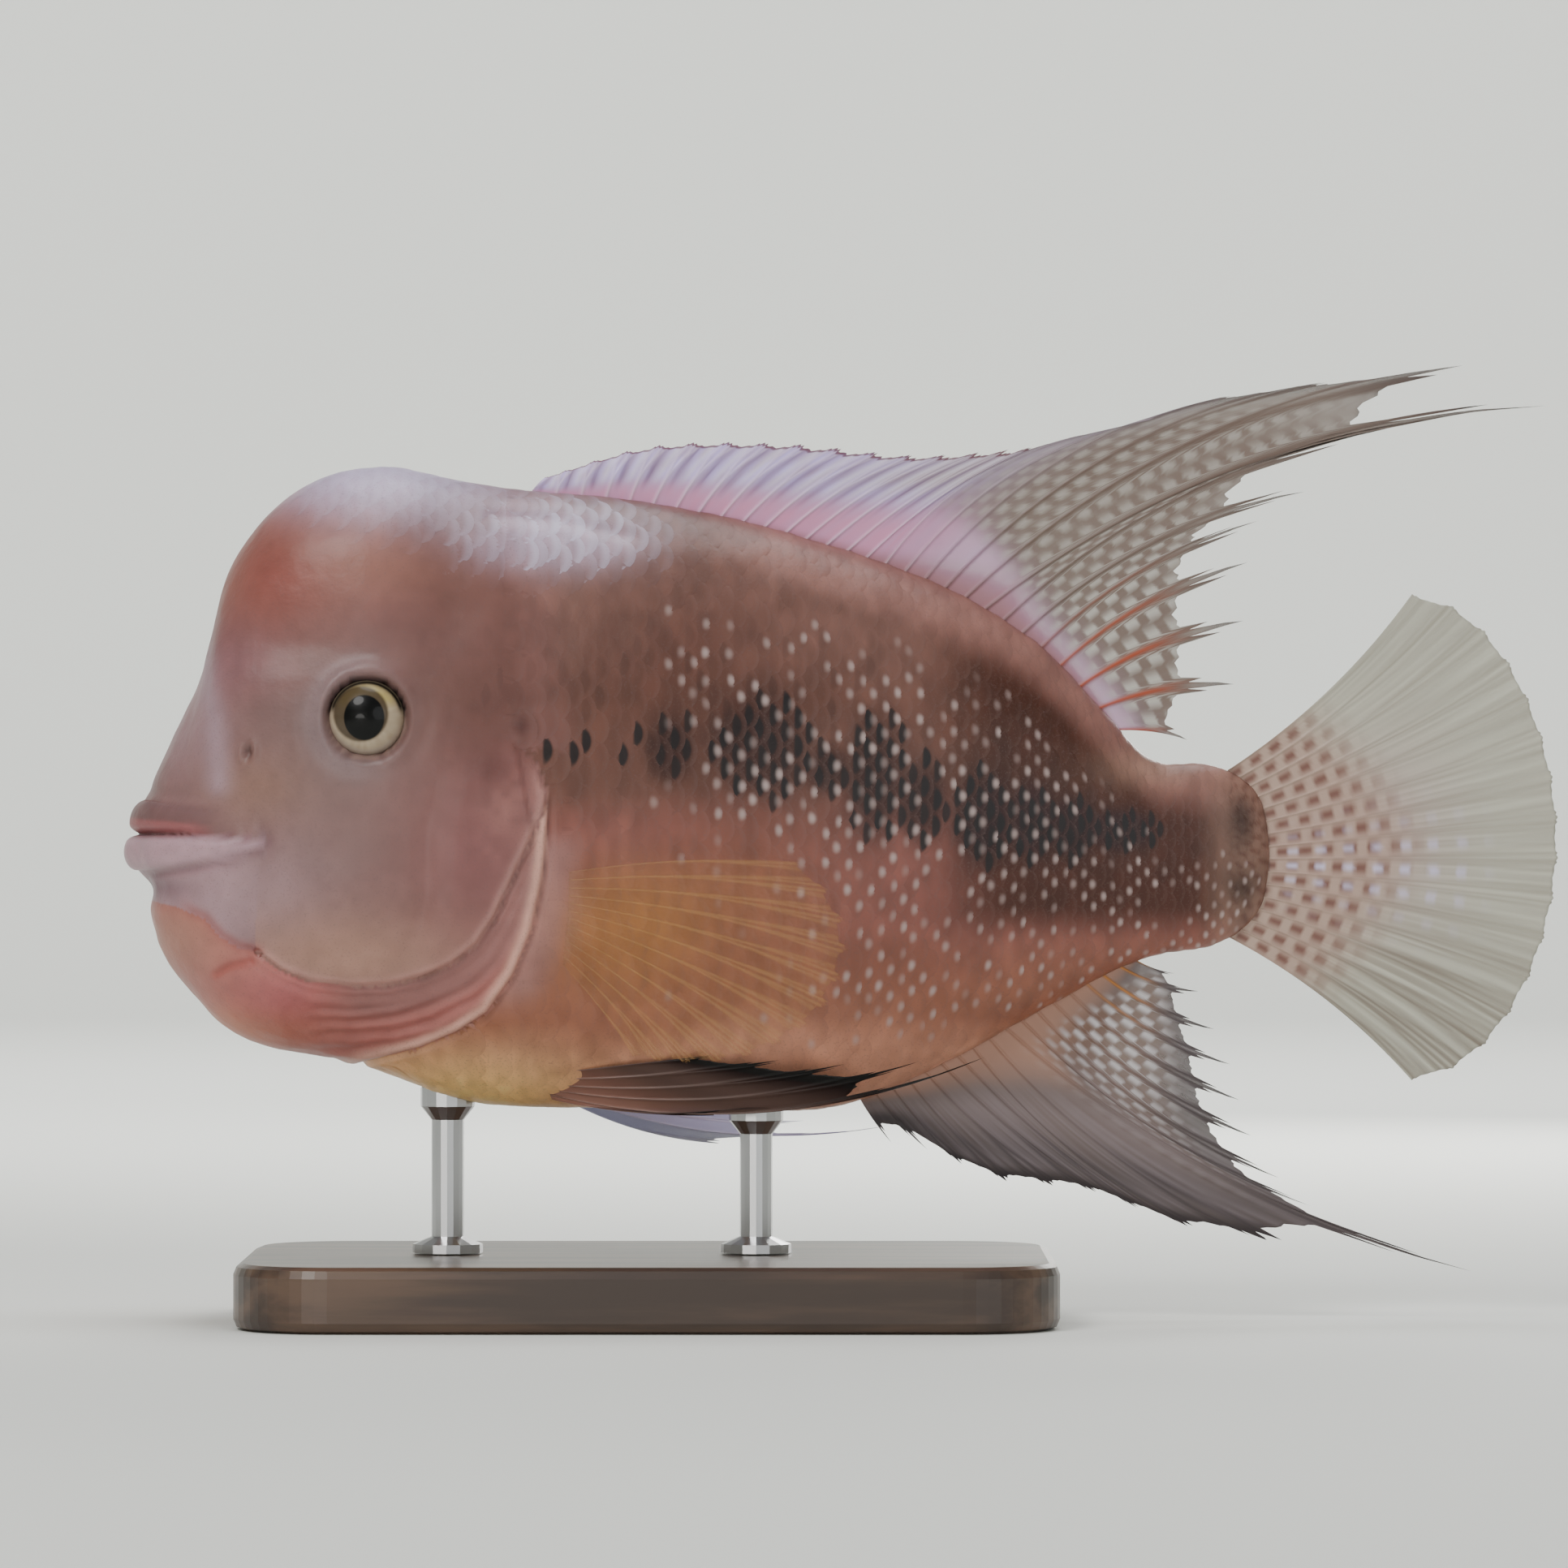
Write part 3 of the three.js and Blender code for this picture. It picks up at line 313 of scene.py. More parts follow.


# Paler patches: one high by the tail's root, two on the belly lightened as painted light on the shaded
# underside.
BELLY_PATCHES = [
    ((166, 132, 116), 0.6, 188, 15, 9, 3.6), ((255, 208, 132), 1.0, 60, -47, 24, 8),
    ((214, 152, 126), 0.6, 125, -38, 24, 7),
]
MUZZLE_PATCHES = [
    ((112, 92, 89), 0.75, EYE_X - 3, EYE_Z, 15, 13), ((122, 86, 92), 0.5, 20, 34, 9, 7),
    ((158, 126, 132), 0.6, 10, 24, 8, 12),
]
CHEEK_PATCHES = [((170, 132, 116), 0.8, 40, -20, 24, 8), ((124, 82, 82), 0.7, 65, 0, 10, 14)]
THROAT_PATCHES = [
    ((168, 120, 106), 0.95, 6, -17, 13, 8), ((186, 116, 86), 0.8, 18, -33, 14, 5),
    ((178, 104, 106), 0.7, 28, -27, 9, 5),
]
# The dark blotches along the flank: centre x and z, reach along x and z.
BLOTCHES = [
    (99.4, 18, 4.6, 6.6), (115.5, 19, 9.6, 10.2), (128, 14.5, 4.5, 5), (137, 12.5, 6.2, 12), (145, 8.6, 5, 8),
    (156.5, 5.8, 6.2, 9), (165.7, 5.4, 5, 7.4), (173.2, 4, 5, 6), (182, 3.4, 7.5, 4.2),
]
LONE_SPOTS = [(76, 19.2), (83, 20.6), (82, 16.9), (90, 16.4), (92, 20)]


def darkness(x, z):
    """How far a place of the flank lies in the dark blotches."""
    return np.max([blob(x, z, *b, power=2) for b in BLOTCHES], axis=0)


def coat(points):
    """The fish's markings, with painted light and shade, at points of its surface, the same for skin and
    scales.
    """
    x, _, z = np.moveaxis(points, -1, 0)
    n1, n2, n3 = noise(points, 14, 21), noise(points, 5, 22), noise(points, 1.7, 23)
    bars = noise(points * np.array([1, 1, 0.4]), 1.9, 24)
    wob = z + 3 * n1

    def oval(*shape):
        return blob(x, z, *shape)

    in_head, in_jaw, in_throat = (inside(x, z, outline) * 1.0 for outline in (HEAD, JAW, THROAT))
    face = np.maximum(in_head, in_jaw)
    back = np.interp(x, STATIONS[:, 0], STATIONS[:, 1])
    ridge = smooth((z - back + 11 + 0.03 * (x - 100)) / 7)
    rear = past(x, 142, 20) * smooth((back - 2 - z) / 10) * past(z, -18, 8)
    gap = (CAUDAL_HALF_ANGLE - np.degrees(np.arctan2(z - TAIL_Z, x - TAIL_X))) / 6.4
    wave = np.sin(1.5 * np.hypot(x - TAIL_X, z - TAIL_Z) + np.pi * np.floor(gap))
    cell = past(wave, -0.4, 0.7) * bell(gap % 1 - 0.5, 0.34)
    soft_head = np.where(face > 0, 1.0, smooth(1 - line_distance(x, z, NAPE)[0] / 14) * (z > 18))
    # The front of the face, which carries a painted highlight.
    profile = smooth((12.5 - (x + (34 - z) * 0.33)) / 6) * past(z, 8, 8)
    rim, edge = (line_distance(x, z, line)[0] for line in (GILL_RIM[:-1], MEMBRANE_RIM))
    fold, fold_hand = line_distance(x, z, CHIN_FOLD[:5])
    hollow = before(z, 5, 6) * past(z, -32, 8) * (1 - in_throat) * (1 - face)
    t = np.clip(x / 24.5, 0, 1)
    soft_jaw = in_jaw * before(x, 27, 11)
    lower = lip_roll(x, z, (-0.8, 0.8), (3.3, 2.0), (1, 1)) * smooth((3.2 - 0.9 * t**2 - z) / 0.5)
    upper = smooth((9.8 - 2 * t - z) / 1.6) * past(z, 2.7, 0.5) * before(x, 21, 9)
    inner = smooth((5.8 - 1.6 * t - z) / 0.9) * past(z, 2.5, 0.4) * before(x, 17, 5)
    pit = np.hypot(x - 72.6, z - 22.4)
    r = np.hypot(x - EYE_X, z - EYE_Z)
    up = (z - EYE_Z) / np.maximum(r, 0.1)
    # Back, flank and belly.
    c = painted((116, 84, 76), x.shape, [
        ((104, 72, 63), before(wob, 40, 16)),
        ((136, 86, 78), before(wob, 14, 14)),
        ((150, 97, 78), before(wob, -12, 16)),
        # Pale belly, lightened beyond its own colour as painted light on the shaded underside.
        ((224, 164, 138), before(wob, -30, 16)),
        ((88, 58, 50), 0.7 * oval(100, 34, 20, 16) + 0.35 * oval(118, 2, 17, 9)),
        ((116, 72, 60), 0.4 * oval(138, -22, 20, 9)),
        ((148, 106, 98), 0.9 * past(x, 102, 20) * ridge),
        ((68, 43, 36), 0.9 * rear),
        # Paler patches, those of the belly lightened as painted light on the shaded underside.
        *patches(x, z, BELLY_PATCHES),
        ((166, 112, 66), 0.7 * oval(90, -15, 15, 11, 1.3) + 0.25 * oval(108, -10, 18, 10)),
        ((52, 37, 35), 0.85 * darkness(x, z) + 0.2 * oval(172, 0, 26, 12)),
        # Root of the tail fin, where the fin's rays and cells begin on the body.
        ((148, 116, 102), 0.7 * past(x, 195, 10)),
        ((104, 68, 60), 0.7 * cell * past(x, 200, 5)),
        ((44, 35, 33), 0.8 * oval(204.5, 5.5, 3.2, 5.5) + 0.7 * oval(204.5, -7, 3, 3.5)),
        # Head, which fades into the body over the nape.
        ((134, 93, 89), soft_head),
        ((128, 98, 95), soft_head * before(wob, 34, 12) * before(x, 66, 26)),
        ((146, 102, 92), soft_head * past(wob, 40, 12)),
        ((114, 79, 72), 0.8 * soft_head * past(x, 46, 12) * past(wob, 14, 12)),
        # The hump's lilac top, partly its own colour and partly painted sheen.
        ((188, 172, 200), 0.95 * oval(44, 71, 26, 10, 1.2)),
        # Paler front of the face, a painted highlight on its forward-facing plane.
        ((176, 158, 184), 0.6 * face * profile),
        ((136, 80, 73), 0.8 * oval(29, 47, 11, 8) + 0.5 * oval(25, 56, 11, 8)),
        ((112, 80, 76), 0.6 * oval(50, 38, 18, 6)),
        ((100, 68, 62), 0.7 * oval(66, 22, 11, 13)),
        # Painted lilac sheen over the nape.
        ((196, 174, 196), 0.85 * oval(78, 57, 15, 6, 1.3) * (0.8 + 0.2 * n2)),
        *patches(x, z, MUZZLE_PATCHES, in_head),
        ((142, 110, 96), 0.6 * oval(24, 11, 9, 6)),
        ((160, 132, 136), 0.7 * face * oval(24, -8, 12, 9)),
        *patches(x, z, CHEEK_PATCHES, in_head),
        ((166, 116, 110), 0.7 * oval(70, 8, 5, 8) * (0.6 + 0.4 * n3)),
        ((190, 144, 136), 0.7 * bell(rim - 0.8, 0.9) * in_head * before(z, 17, 8)),
        # Throat and chin.
        ((164, 104, 98), in_throat),
        *patches(x, z, THROAT_PATCHES, in_throat),
        ((138, 98, 94), in_throat * 0.85 * before(rim, 7, 3.5) * past(x, 34, 10)),
        # Painted shade in the chin pit's crease.
        ((150, 72, 66), in_throat * 0.5 * seam(x, z, CHIN_PIT, 0.9)),
        ((212, 164, 148), in_throat * 0.9 * bell(edge - 1.2, 1.1)),
        ((162, 122, 118), 0.6 * before(edge, 8, 6) * hollow),
        # Lips and jaw.
        ((168, 138, 144), 0.8 * soft_jaw),
        # Painted shade in the hollow under the lower lip's front.
        ((118, 90, 98), 0.8 * oval(3.5, -7.2, 9, 2.2)),
        ((174, 142, 150), np.minimum(1, 1.6 * lower)),
        # Painted shade along the crease under the lower lip.
        ((122, 92, 98), 0.55 * seam(x, z, UNDER_LIP, 0.9)),
        ((112, 84, 84), 0.85 * upper),
        ((150, 92, 93), 0.9 * inner),
        # Painted shade in the line between the closed lips.
        ((112, 72, 74), 0.7 * seam(x, z, MOUTH, 0.5) * before(x, 26, 2)),
        # Painted shade along the chin fold.
        ((150, 84, 80), 0.6 * bell(fold + 0.6 * fold_hand, 1.1) * past(x, 8, 5)),
        # Painted highlight along the muzzle's front corner.
        ((164, 140, 150), 0.6 * in_head * seam(x, z, MUZZLE_HIGHLIGHT_LINE, 2.4)),
        # Painted shade in the pit at the top of the gill opening, and a small dark spot below it.
        ((88, 56, 54), 0.6 * in_head * oval(68, 14, 4, 4) + 0.7 * bell(pit, 1.4)),
        # Round the eye and in the nostril: painted shade in the socket, darkest at its top, and in the
        # nostril's pit.
        ((146, 130, 134), 0.38 * bell(r - 9.6, 2.6) * smooth(0.6 - (x - EYE_X) / 14)),
        ((112, 90, 88), 0.5 * before(r, 8.6, 0.9)),
        ((146, 122, 114), before(r, 7.4, 0.5)),
        # Painted shade along the socket's top, under the brow.
        ((20, 15, 15), before(r, 7.6, 0.5) * past(up, -0.1, 0.4)),
        ((76, 56, 56), 0.5 * bell(np.hypot(x - NOSTRIL_X, (z - NOSTRIL_Z) / 1.25), 0.8)),
    ])
    # Broken pigment, and the light that the wet surface throws back taken off.
    behind = (1 - face) * (1 - in_throat)
    shade = 1 + 0.06 * n1 + 0.07 * n2 + 0.07 * n3 + 0.15 * bars * behind
    return np.clip((c - 0.016) * shade[..., None], 0.004, 1)


# Meshes.
def placed(name, data):
    thing = bpy.data.objects.new(name, data)
    bpy.context.scene.collection.objects.link(thing)
    return thing


def layout(share):
    """A share from 0 to 1 as a place in the bake layout, which has a margin all round."""
    return share * 0.96 + 0.02


def add_mesh(name, points, faces, material, colours, uv, extra=None, local=None):
    """A mesh in the stand's frame, with its colours, extra numbers and places in the layouts per vertex."""
    points = points.reshape(-1, 3)
    mesh = bpy.data.meshes.new(name)
    mesh.from_pydata(((points + SHIFT) * 0.001).tolist(), [], faces)
    mesh.update()
    layer = mesh.attributes.new("coat", "FLOAT_COLOR", "POINT")
    opaque = np.ones((len(points), 4), np.float32)
    opaque[:, :3] = colours.reshape(-1, 3)
    layer.data.foreach_set("color", opaque.ravel())
    for key, values in (extra or {}).items():
        layer = mesh.attributes.new(key, "FLOAT", "POINT")
        layer.data.foreach_set("value", values.ravel().astype(np.float32))
    corners = np.zeros(len(mesh.loops), np.int32)
    mesh.loops.foreach_get("vertex_index", corners)
    for layer_name, coordinates in (("OFBake", uv), ("Scale", local)):
        if coordinates is not None:
            layer = mesh.uv_layers.new(name=layer_name)
            layer.data.foreach_set("uv", coordinates.reshape(-1, 2)[corners].ravel().astype(np.float32))
    mesh.polygons.foreach_set("use_smooth", np.ones(len(mesh.polygons), bool))
    mesh.materials.append(material)
    thing = placed(name, mesh)
    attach(thing, "root")
    return thing


def grid_faces(rows, columns, wrap=False):
    """Quads of a grid of points, row by row."""
    r, c = np.meshgrid(np.arange(rows - 1), np.arange(columns if wrap else columns - 1), indexing="ij")
    near, far = r * columns, (r + 1) * columns
    n = (c + 1) % columns
    return np.stack([near + c, far + c, far + n, near + n], axis=-1).reshape(-1, 4)


def new_material(name, colour=(0.8, 0.8, 0.8), **sockets):
    material = bpy.data.materials.new(name)
    material.use_nodes = True
    shader = material.node_tree.nodes["Principled BSDF"]
    shader.inputs["Base Color"].default_value = (*colour, 1)
    for key, value in sockets.items():
        shader.inputs[key.replace("_", " ")].default_value = value
    return material, material.node_tree, shader


def node(tree, kind, inputs=None, **settings):
    made = tree.nodes.new(kind)
    for key, value in settings.items():
        setattr(made, key, value)
    for key, value in (inputs or {}).items():
        if hasattr(value, "links"):
            tree.links.new(value, made.inputs[key])
        else:
            made.inputs[key].default_value = value
    return made


def math_node(tree, operation, a, b=0.0):
    return node(tree, "ShaderNodeMath", {0: a, 1: b}, operation=operation).outputs[0]


def multiply(tree, a, b):
    return math_node(tree, "MULTIPLY", a, b)


def mix_colour(tree, share, a, b):
    a, b = ((*colour, 1) if isinstance(colour, tuple) else colour for colour in (a, b))
    return node(tree, "ShaderNodeMix", {0: share, 6: a, 7: b}, data_type="RGBA").outputs[2]


def ramp(tree, value, low, high):
    """value rescaled so that low becomes 0 and high becomes 1, clamped and eased."""
    limits = {0: value, 1: low, 2: high, 3: 0.0, 4: 1.0}
    return node(tree, "ShaderNodeMapRange", limits, interpolation_type="SMOOTHSTEP").outputs[0]


def attribute(tree, name, output="Fac"):
    return node(tree, "ShaderNodeAttribute", attribute_name=name).outputs[output]


def fine_texture(tree, scale, detail=4.0):
    place = node(tree, "ShaderNodeTexCoord").outputs["Object"]
    return node(tree, "ShaderNodeTexNoise", {"Vector": place, "Scale": scale, "Detail": detail}).outputs[0]


def dress(tree, shader, base, scale, strength, distance):
    """Gives a material its base colour and a fine grain."""
    height = fine_texture(tree, scale)
    grain = node(tree, "ShaderNodeBump", {"Height": height, "Strength": strength, "Distance": distance})
    tree.links.new(base, shader.inputs["Base Color"])
    tree.links.new(grain.outputs["Normal"], shader.inputs["Normal"])


def speckled(tree, share, pigment):
    """The coat's colours with fine dots of dark pigment over them."""
    dots = ramp(tree, fine_texture(tree, 2600, 2.0), 0.56, 0.7)
    return mix_colour(tree, multiply(tree, dots, share), attribute(tree, "coat", "Color"), pigment)


# Skin: one closed surface for all the flesh, closer-meshed over the head.
FIRST_RING, LAST_RING = 0.03, 22.97
RINGS = [(FIRST_RING, 4, 110), (4, 12.5, 210), (12.5, LAST_RING, 130)]  # from and to a station, and how many
SIDES = 360


def build_skin():
    """Points, colours, layout and faces of the skin, and its grid of parameters, points and normals."""
    density = 1.0
    runs = [np.linspace(a, b, int(n * density), endpoint=False) for a, b, n in RINGS]
    rings = np.concatenate(runs + [[LAST_RING]])
    sides = int(SIDES * density)
    angles = np.linspace(0, 2 * np.pi, sides, endpoint=False)
    s, a = np.meshgrid(rings, angles, indexing="ij")
    points = body(s, a)
    around = np.roll(points, -1, axis=1) - np.roll(points, 1, axis=1)
    normal = np.cross(np.gradient(points, axis=0), around)
    normal /= np.maximum(np.linalg.norm(normal, axis=-1, keepdims=True), 1e-9)
    lifted = points + normal * relief(points)[..., None]
    colours = coat(points)
    # The middles of the first and last rings close the lips and the tail.
    verts, tints = (
        np.concatenate([grid.reshape(-1, 3), [grid[0].mean(axis=0), grid[-1].mean(axis=0)]])
        for grid in (lifted, colours)
    )
    uv = np.stack([layout(s / LAST), layout(a / (2 * np.pi))], axis=-1).reshape(-1, 2)
    uv = np.concatenate([uv, [[0.02, 0.5], [0.98, 0.5]]])
    count = len(rings) * sides
    faces = grid_faces(len(rings), sides, wrap=True).tolist()
    last = (len(rings) - 1) * sides
    faces += [[count, i, (i + 1) % sides] for i in range(sides)]
    faces += [[count + 1, last + (i + 1) % sides, last + i] for i in range(sides)]
    return verts, tints, uv, faces, (rings, angles, lifted, normal)


skin_material, tree, shader = new_material(
    "skin", Roughness=0.45, Specular_IOR_Level=0.3, Coat_Weight=0.12, Coat_Roughness=0.3,
    Subsurface_Weight=0.08, Subsurface_Scale=0.003,
)
dress(tree, shader, speckled(tree, 0.22, (0.12, 0.075, 0.075)), 900, 0.35, 0.0003)

verts, tints, uv, faces, (rings, angles, lifted, normals) = build_skin()
skin = add_mesh("fish_skin", verts, faces, skin_material, tints, uv)
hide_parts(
    "head", "nuchal_hump", "lower_jaw", "throat", "gill_cover_left", "gill_cover_right", "torso",
    "caudal_peduncle",
)

# A coarser body, to find the roots of the fins on it.
s, a = np.meshgrid(np.linspace(FIRST_RING, LAST_RING, 150), np.linspace(0, 2 * np.pi, 97), indexing="ij")
coarse = BVHTree.FromPolygons(body(s, a).reshape(-1, 3).tolist(), grid_faces(*s.shape).tolist())


def half_width_at(x, z):
    """The body's half-width at a place in side view."""
    hit = coarse.ray_cast(Vector((x, -80, z)), Vector((0, 1, 0)))[0]
    return -hit.y if hit else 0.0


def outline_at(x, side):
    """Height of the body's outline at x, above (side 1) or below (side -1)."""
    hit = coarse.ray_cast(Vector((x, 0.01, side * 100)), Vector((0, 0, -side)))[0]
    return hit.z if hit else 0.0


# Scales: plates set in offset rows, each bent to the surface, rising towards its free rear edge.
def on_skin(s, a):
    """Points and normals of the finished skin at parameters s and a."""
    row = np.clip(np.interp(s, rings, np.arange(len(rings))), 0, len(rings) - 1.001)
    column = (a % (2 * np.pi)) / (2 * np.pi) * len(angles)
    r0, c0 = row.astype(int), column.astype(int) % len(angles)
    fr, fc = (row - r0)[..., None], (column - np.floor(column))[..., None]
    c1 = (c0 + 1) % len(angles)

    def mixed(field):
        top = field[r0, c0] * (1 - fc) + field[r0, c1] * fc
        under = field[r0 + 1, c0] * (1 - fc) + field[r0 + 1, c1] * fc
        return top * (1 - fr) + under * fr

    return mixed(lifted), mixed(normals)


TALL = 1.3  # height of a scale's free part over its length
FIRST_COLUMN, LAST_COLUMN = 7.2, 22.55  # stations between which scales are rooted
HALF_ROWS = 16  # rows of scales above and below the middle one
ROWS, COLUMNS = 8, 9  # points along and across a scale
PATCH = 0.003  # size of a scale's patch on the skin's part of the bake layout


def scale_roots():
    """Where the scales of one side are rooted: station, angle and pitch, and the places in side view."""
    fine = np.linspace(0.0, np.pi, 500)
    roots = []
    s = FIRST_COLUMN
    column = 0
    while s < LAST_COLUMN:
        section = body(np.full(500, s), fine)
        here, ahead = body(np.array([s, s + 0.05]), np.array([1.4, 1.4]))
        rate = np.linalg.norm(ahead - here) / 0.05
        pitch = float(np.interp(section[250, 0], [20, 60, 150, 200], [4.9, 4.5, 3.9, 2.9]))
        length = np.concatenate([[0], np.cumsum(np.linalg.norm(np.diff(section, axis=0), axis=1))])
        middle = length[int(np.argmax(section[:, 1]))]
        for k in range(-HALF_ROWS, HALF_ROWS + 1):
            at = middle + (k + (column % 2) * 0.5) * pitch * TALL
            if 1.6 < at < length[-1] - 1.2:
                roots.append((s, float(np.interp(at, length, fine)), pitch))
        s += 0.5 * pitch / rate * 1.08
        column += 1
    s, a, pitch = np.array(roots).T[..., None, None]
    x, _, z = np.moveaxis(body(s, a), -1, 0)
    # None on the face and the throat, along the gill rims and round the eye.
    rim, edge = (line_distance(x, z, line)[0] for line in (GILL_RIM[:-1], MEMBRANE_RIM))
    in_head = inside(x, z, HEAD)
    behind = ~in_head & ~inside(x, z, THROAT) & ~inside(x, z, JAW)
    on_hump = in_head & (blob(x, z, 50, 70, 20, 12) > 0.3)
    temple = in_head & (x > 58) & (z > 18)
    from_eye = np.hypot(x - EYE_X, z - EYE_Z)
    keep = (behind & (rim > 1.4) & (edge > 2.4)) | ((on_hump | temple) & (from_eye > 17) & (rim > 7))
    return (values[keep].reshape(-1, 1, 1) for values in (s, a, pitch, x, z))


def scale_marks(x, z, seeds):
    """How much of a pearl, a dark mark and a painted lilac sheen each scale carries."""
    back = np.interp(x, STATIONS[:, 0], STATIONS[:, 1])
    field = past(x, 92, 14) * smooth((back - 12 - z) / 10) * past(z, -40, 12)
    field *= 1 - 0.95 * blob(x, z, 104, -18, 22, 18, 2)
    pearl = np.where(seeds < 0.68 * field, 0.2 + 0.6 * rng.random(x.shape), 0) * (0.4 + 0.6 * field)
    dark = darkness(x, z) > 0.2 + 0.35 * rng.random(x.shape)
    spot = np.where(dark, 0.8 + 0.2 * rng.random(x.shape), 0.0)
    spot = np.maximum(spot, 0.35 * blob(x, z, 106, 26, 44, 16) * rng.random(x.shape) ** 2)
    for cx, cz in LONE_SPOTS:
        spot[np.argmin(np.hypot(x - cx, z - cz))] = 0.95
    # Painted lilac sheen over the nape and the hump's top.
    shine = (0.3 + 0.9 * rng.random(x.shape)) * blob(x, z, 78, 58, 17, 6, 1.5)
    shine += 0.4 * blob(x, z, 48, 69, 22, 8)
    return {"pearl": pearl, "spot": spot, "shine": np.clip(shine, 0, 1)}


def build_scales(name, side):
    """All the scales of one side of the fish as one mesh."""
    s, a, pitch, x, z = scale_roots()
    n = len(s)
    prominence = np.where(inside(x, z, HEAD), 0.12 + 0.3 * blob(x, z, 48, 68, 22, 9), 0.65)
    prominence *= 1 - 0.3 * before(z, -24, 16)
    seeds = rng.random(x.shape)
    # Rates of travel over the surface, to lay a plate of a given size in millimetres.
    ds = np.linalg.norm(body(s + 0.02, a) - body(s - 0.02, a), axis=-1) / 0.04
    da = np.linalg.norm(body(s, a + 0.01) - body(s, a - 0.01), axis=-1) / 0.02
    # One plate, pp along it in pitches of its row and qq across it, with a rounded rear edge.
    pp, qq = np.meshgrid(np.linspace(-0.55, 0.62, ROWS), np.linspace(-1, 1, COLUMNS), indexing="ij")
    rear = 0.72 * np.sqrt(1 - 0.9 * qq**2) - 0.1
    lengthwise = (pp + 0.55) * (rear + 0.55) / 1.17 - 0.55
    across = 0.62 * qq
    rise = (0.5 + pp / 1.2) * 0.26 - 0.07 + 0.05 * (1 - qq**2) - 0.1 * (pp > 0.6)
    sv = s + lengthwise * (pitch / ds)
    av = a + across * (TALL * pitch / np.maximum(da, 2.0))
    av = np.clip(av, 0.004, np.pi - 0.004)
    signed = av if side > 0 else 2 * np.pi - av
    base, out = on_skin(sv, signed)
    jitter = 1 + 0.25 * (seeds - 0.5)
    height = np.where(rise > 0, rise * prominence * jitter, rise)
    points = base + out * height[..., None]
    tone = 1 + 0.14 * (rng.random((n, 1, 1, 1)) - 0.5) * (prominence > 0.42)[..., None]
    colours = coat(body(sv, signed)) * tone
    marks = {**scale_marks(x, z, seeds), "prominence": prominence}
    extra = {key: np.repeat(values, ROWS * COLUMNS) for key, values in marks.items()}
    local = np.stack([pp + 0.55, across + 0.6], axis=-1)
    local = local + rng.normal(0, 0.045, (n, 1, 1, 2))
    u = layout(s / LAST) + lengthwise * PATCH
    v = layout(signed[:, 3:4, 4:5] / (2 * np.pi)) + across * PATCH
    uv = np.stack([u, v], axis=-1)
    one = grid_faces(ROWS, COLUMNS)[:, ::-side]
    faces = (one[None] + (np.arange(n) * ROWS * COLUMNS)[:, None, None]).reshape(-1, 4)
    scales = add_mesh(name, points, faces.tolist(), scale_material, colours, uv, extra, local)


scale_material, tree, shader = new_material(
    "scales", Roughness=0.42, Specular_IOR_Level=0.3, Coat_Weight=0.12, Coat_Roughness=0.3,
    Subsurface_Weight=0.05, Subsurface_Scale=0.002,
)
split = node(tree, "ShaderNodeSeparateXYZ", {0: node(tree, "ShaderNodeUVMap", uv_map="Scale").outputs[0]})
lengthwise, across = split.outputs[0], split.outputs[1]


def mark(tree, cx, cy, rx, ry, soft):
    """1 in an oval of the scale's own layout, easing to 0 round it."""
    dx = math_node(tree, "DIVIDE", math_node(tree, "SUBTRACT", lengthwise, cx), rx)
    dy = math_node(tree, "DIVIDE", math_node(tree, "SUBTRACT", across, cy), ry)
    d = math_node(tree, "SQRT", math_node(tree, "ADD", multiply(tree, dx, dx), multiply(tree, dy, dy)))
    return ramp(tree, d, 1 + soft, 1 - soft)


# Over the coat: the darker free edge, the dark mark, the pearl at the edge and the painted lilac sheen.
tint = speckled(tree, 0.25, (0.12, 0.075, 0.07))
for key, share, mask, colour in (
    ("prominence", 0.14, ramp(tree, lengthwise, 0.9, 1.12), (0.2, 0.12, 0.11)),
    ("spot", 1.0, mark(tree, 0.74, 0.6, 0.2, 0.42, 0.35), (0.006, 0.004, 0.005)),
    ("pearl", 1.0, mark(tree, 0.97, 0.6, 0.15, 0.16, 0.85), (0.46, 0.35, 0.33)),
    ("shine", 0.55, ramp(tree, lengthwise, 0.6, 1.0), (0.6, 0.56, 0.72)),
):
    tint = mix_colour(tree, multiply(tree, multiply(tree, mask, attribute(tree, key)), share), tint, colour)
dress(tree, shader, tint, 1300, 0.3, 0.0002)

for side, name in ((-1, "left"), (1, "right")):
    build_scales(f"scales_{name}", side)


# Fins: a membrane of fine rays that fork towards the edge, its points closest together beside each ray.
STEPS = np.array([0, 0.03, 0.07, 0.12, 0.18, 0.25, 0.33, 0.41, 0.5, 0.59, 0.67, 0.75, 0.82, 0.88, 0.93, 0.97])


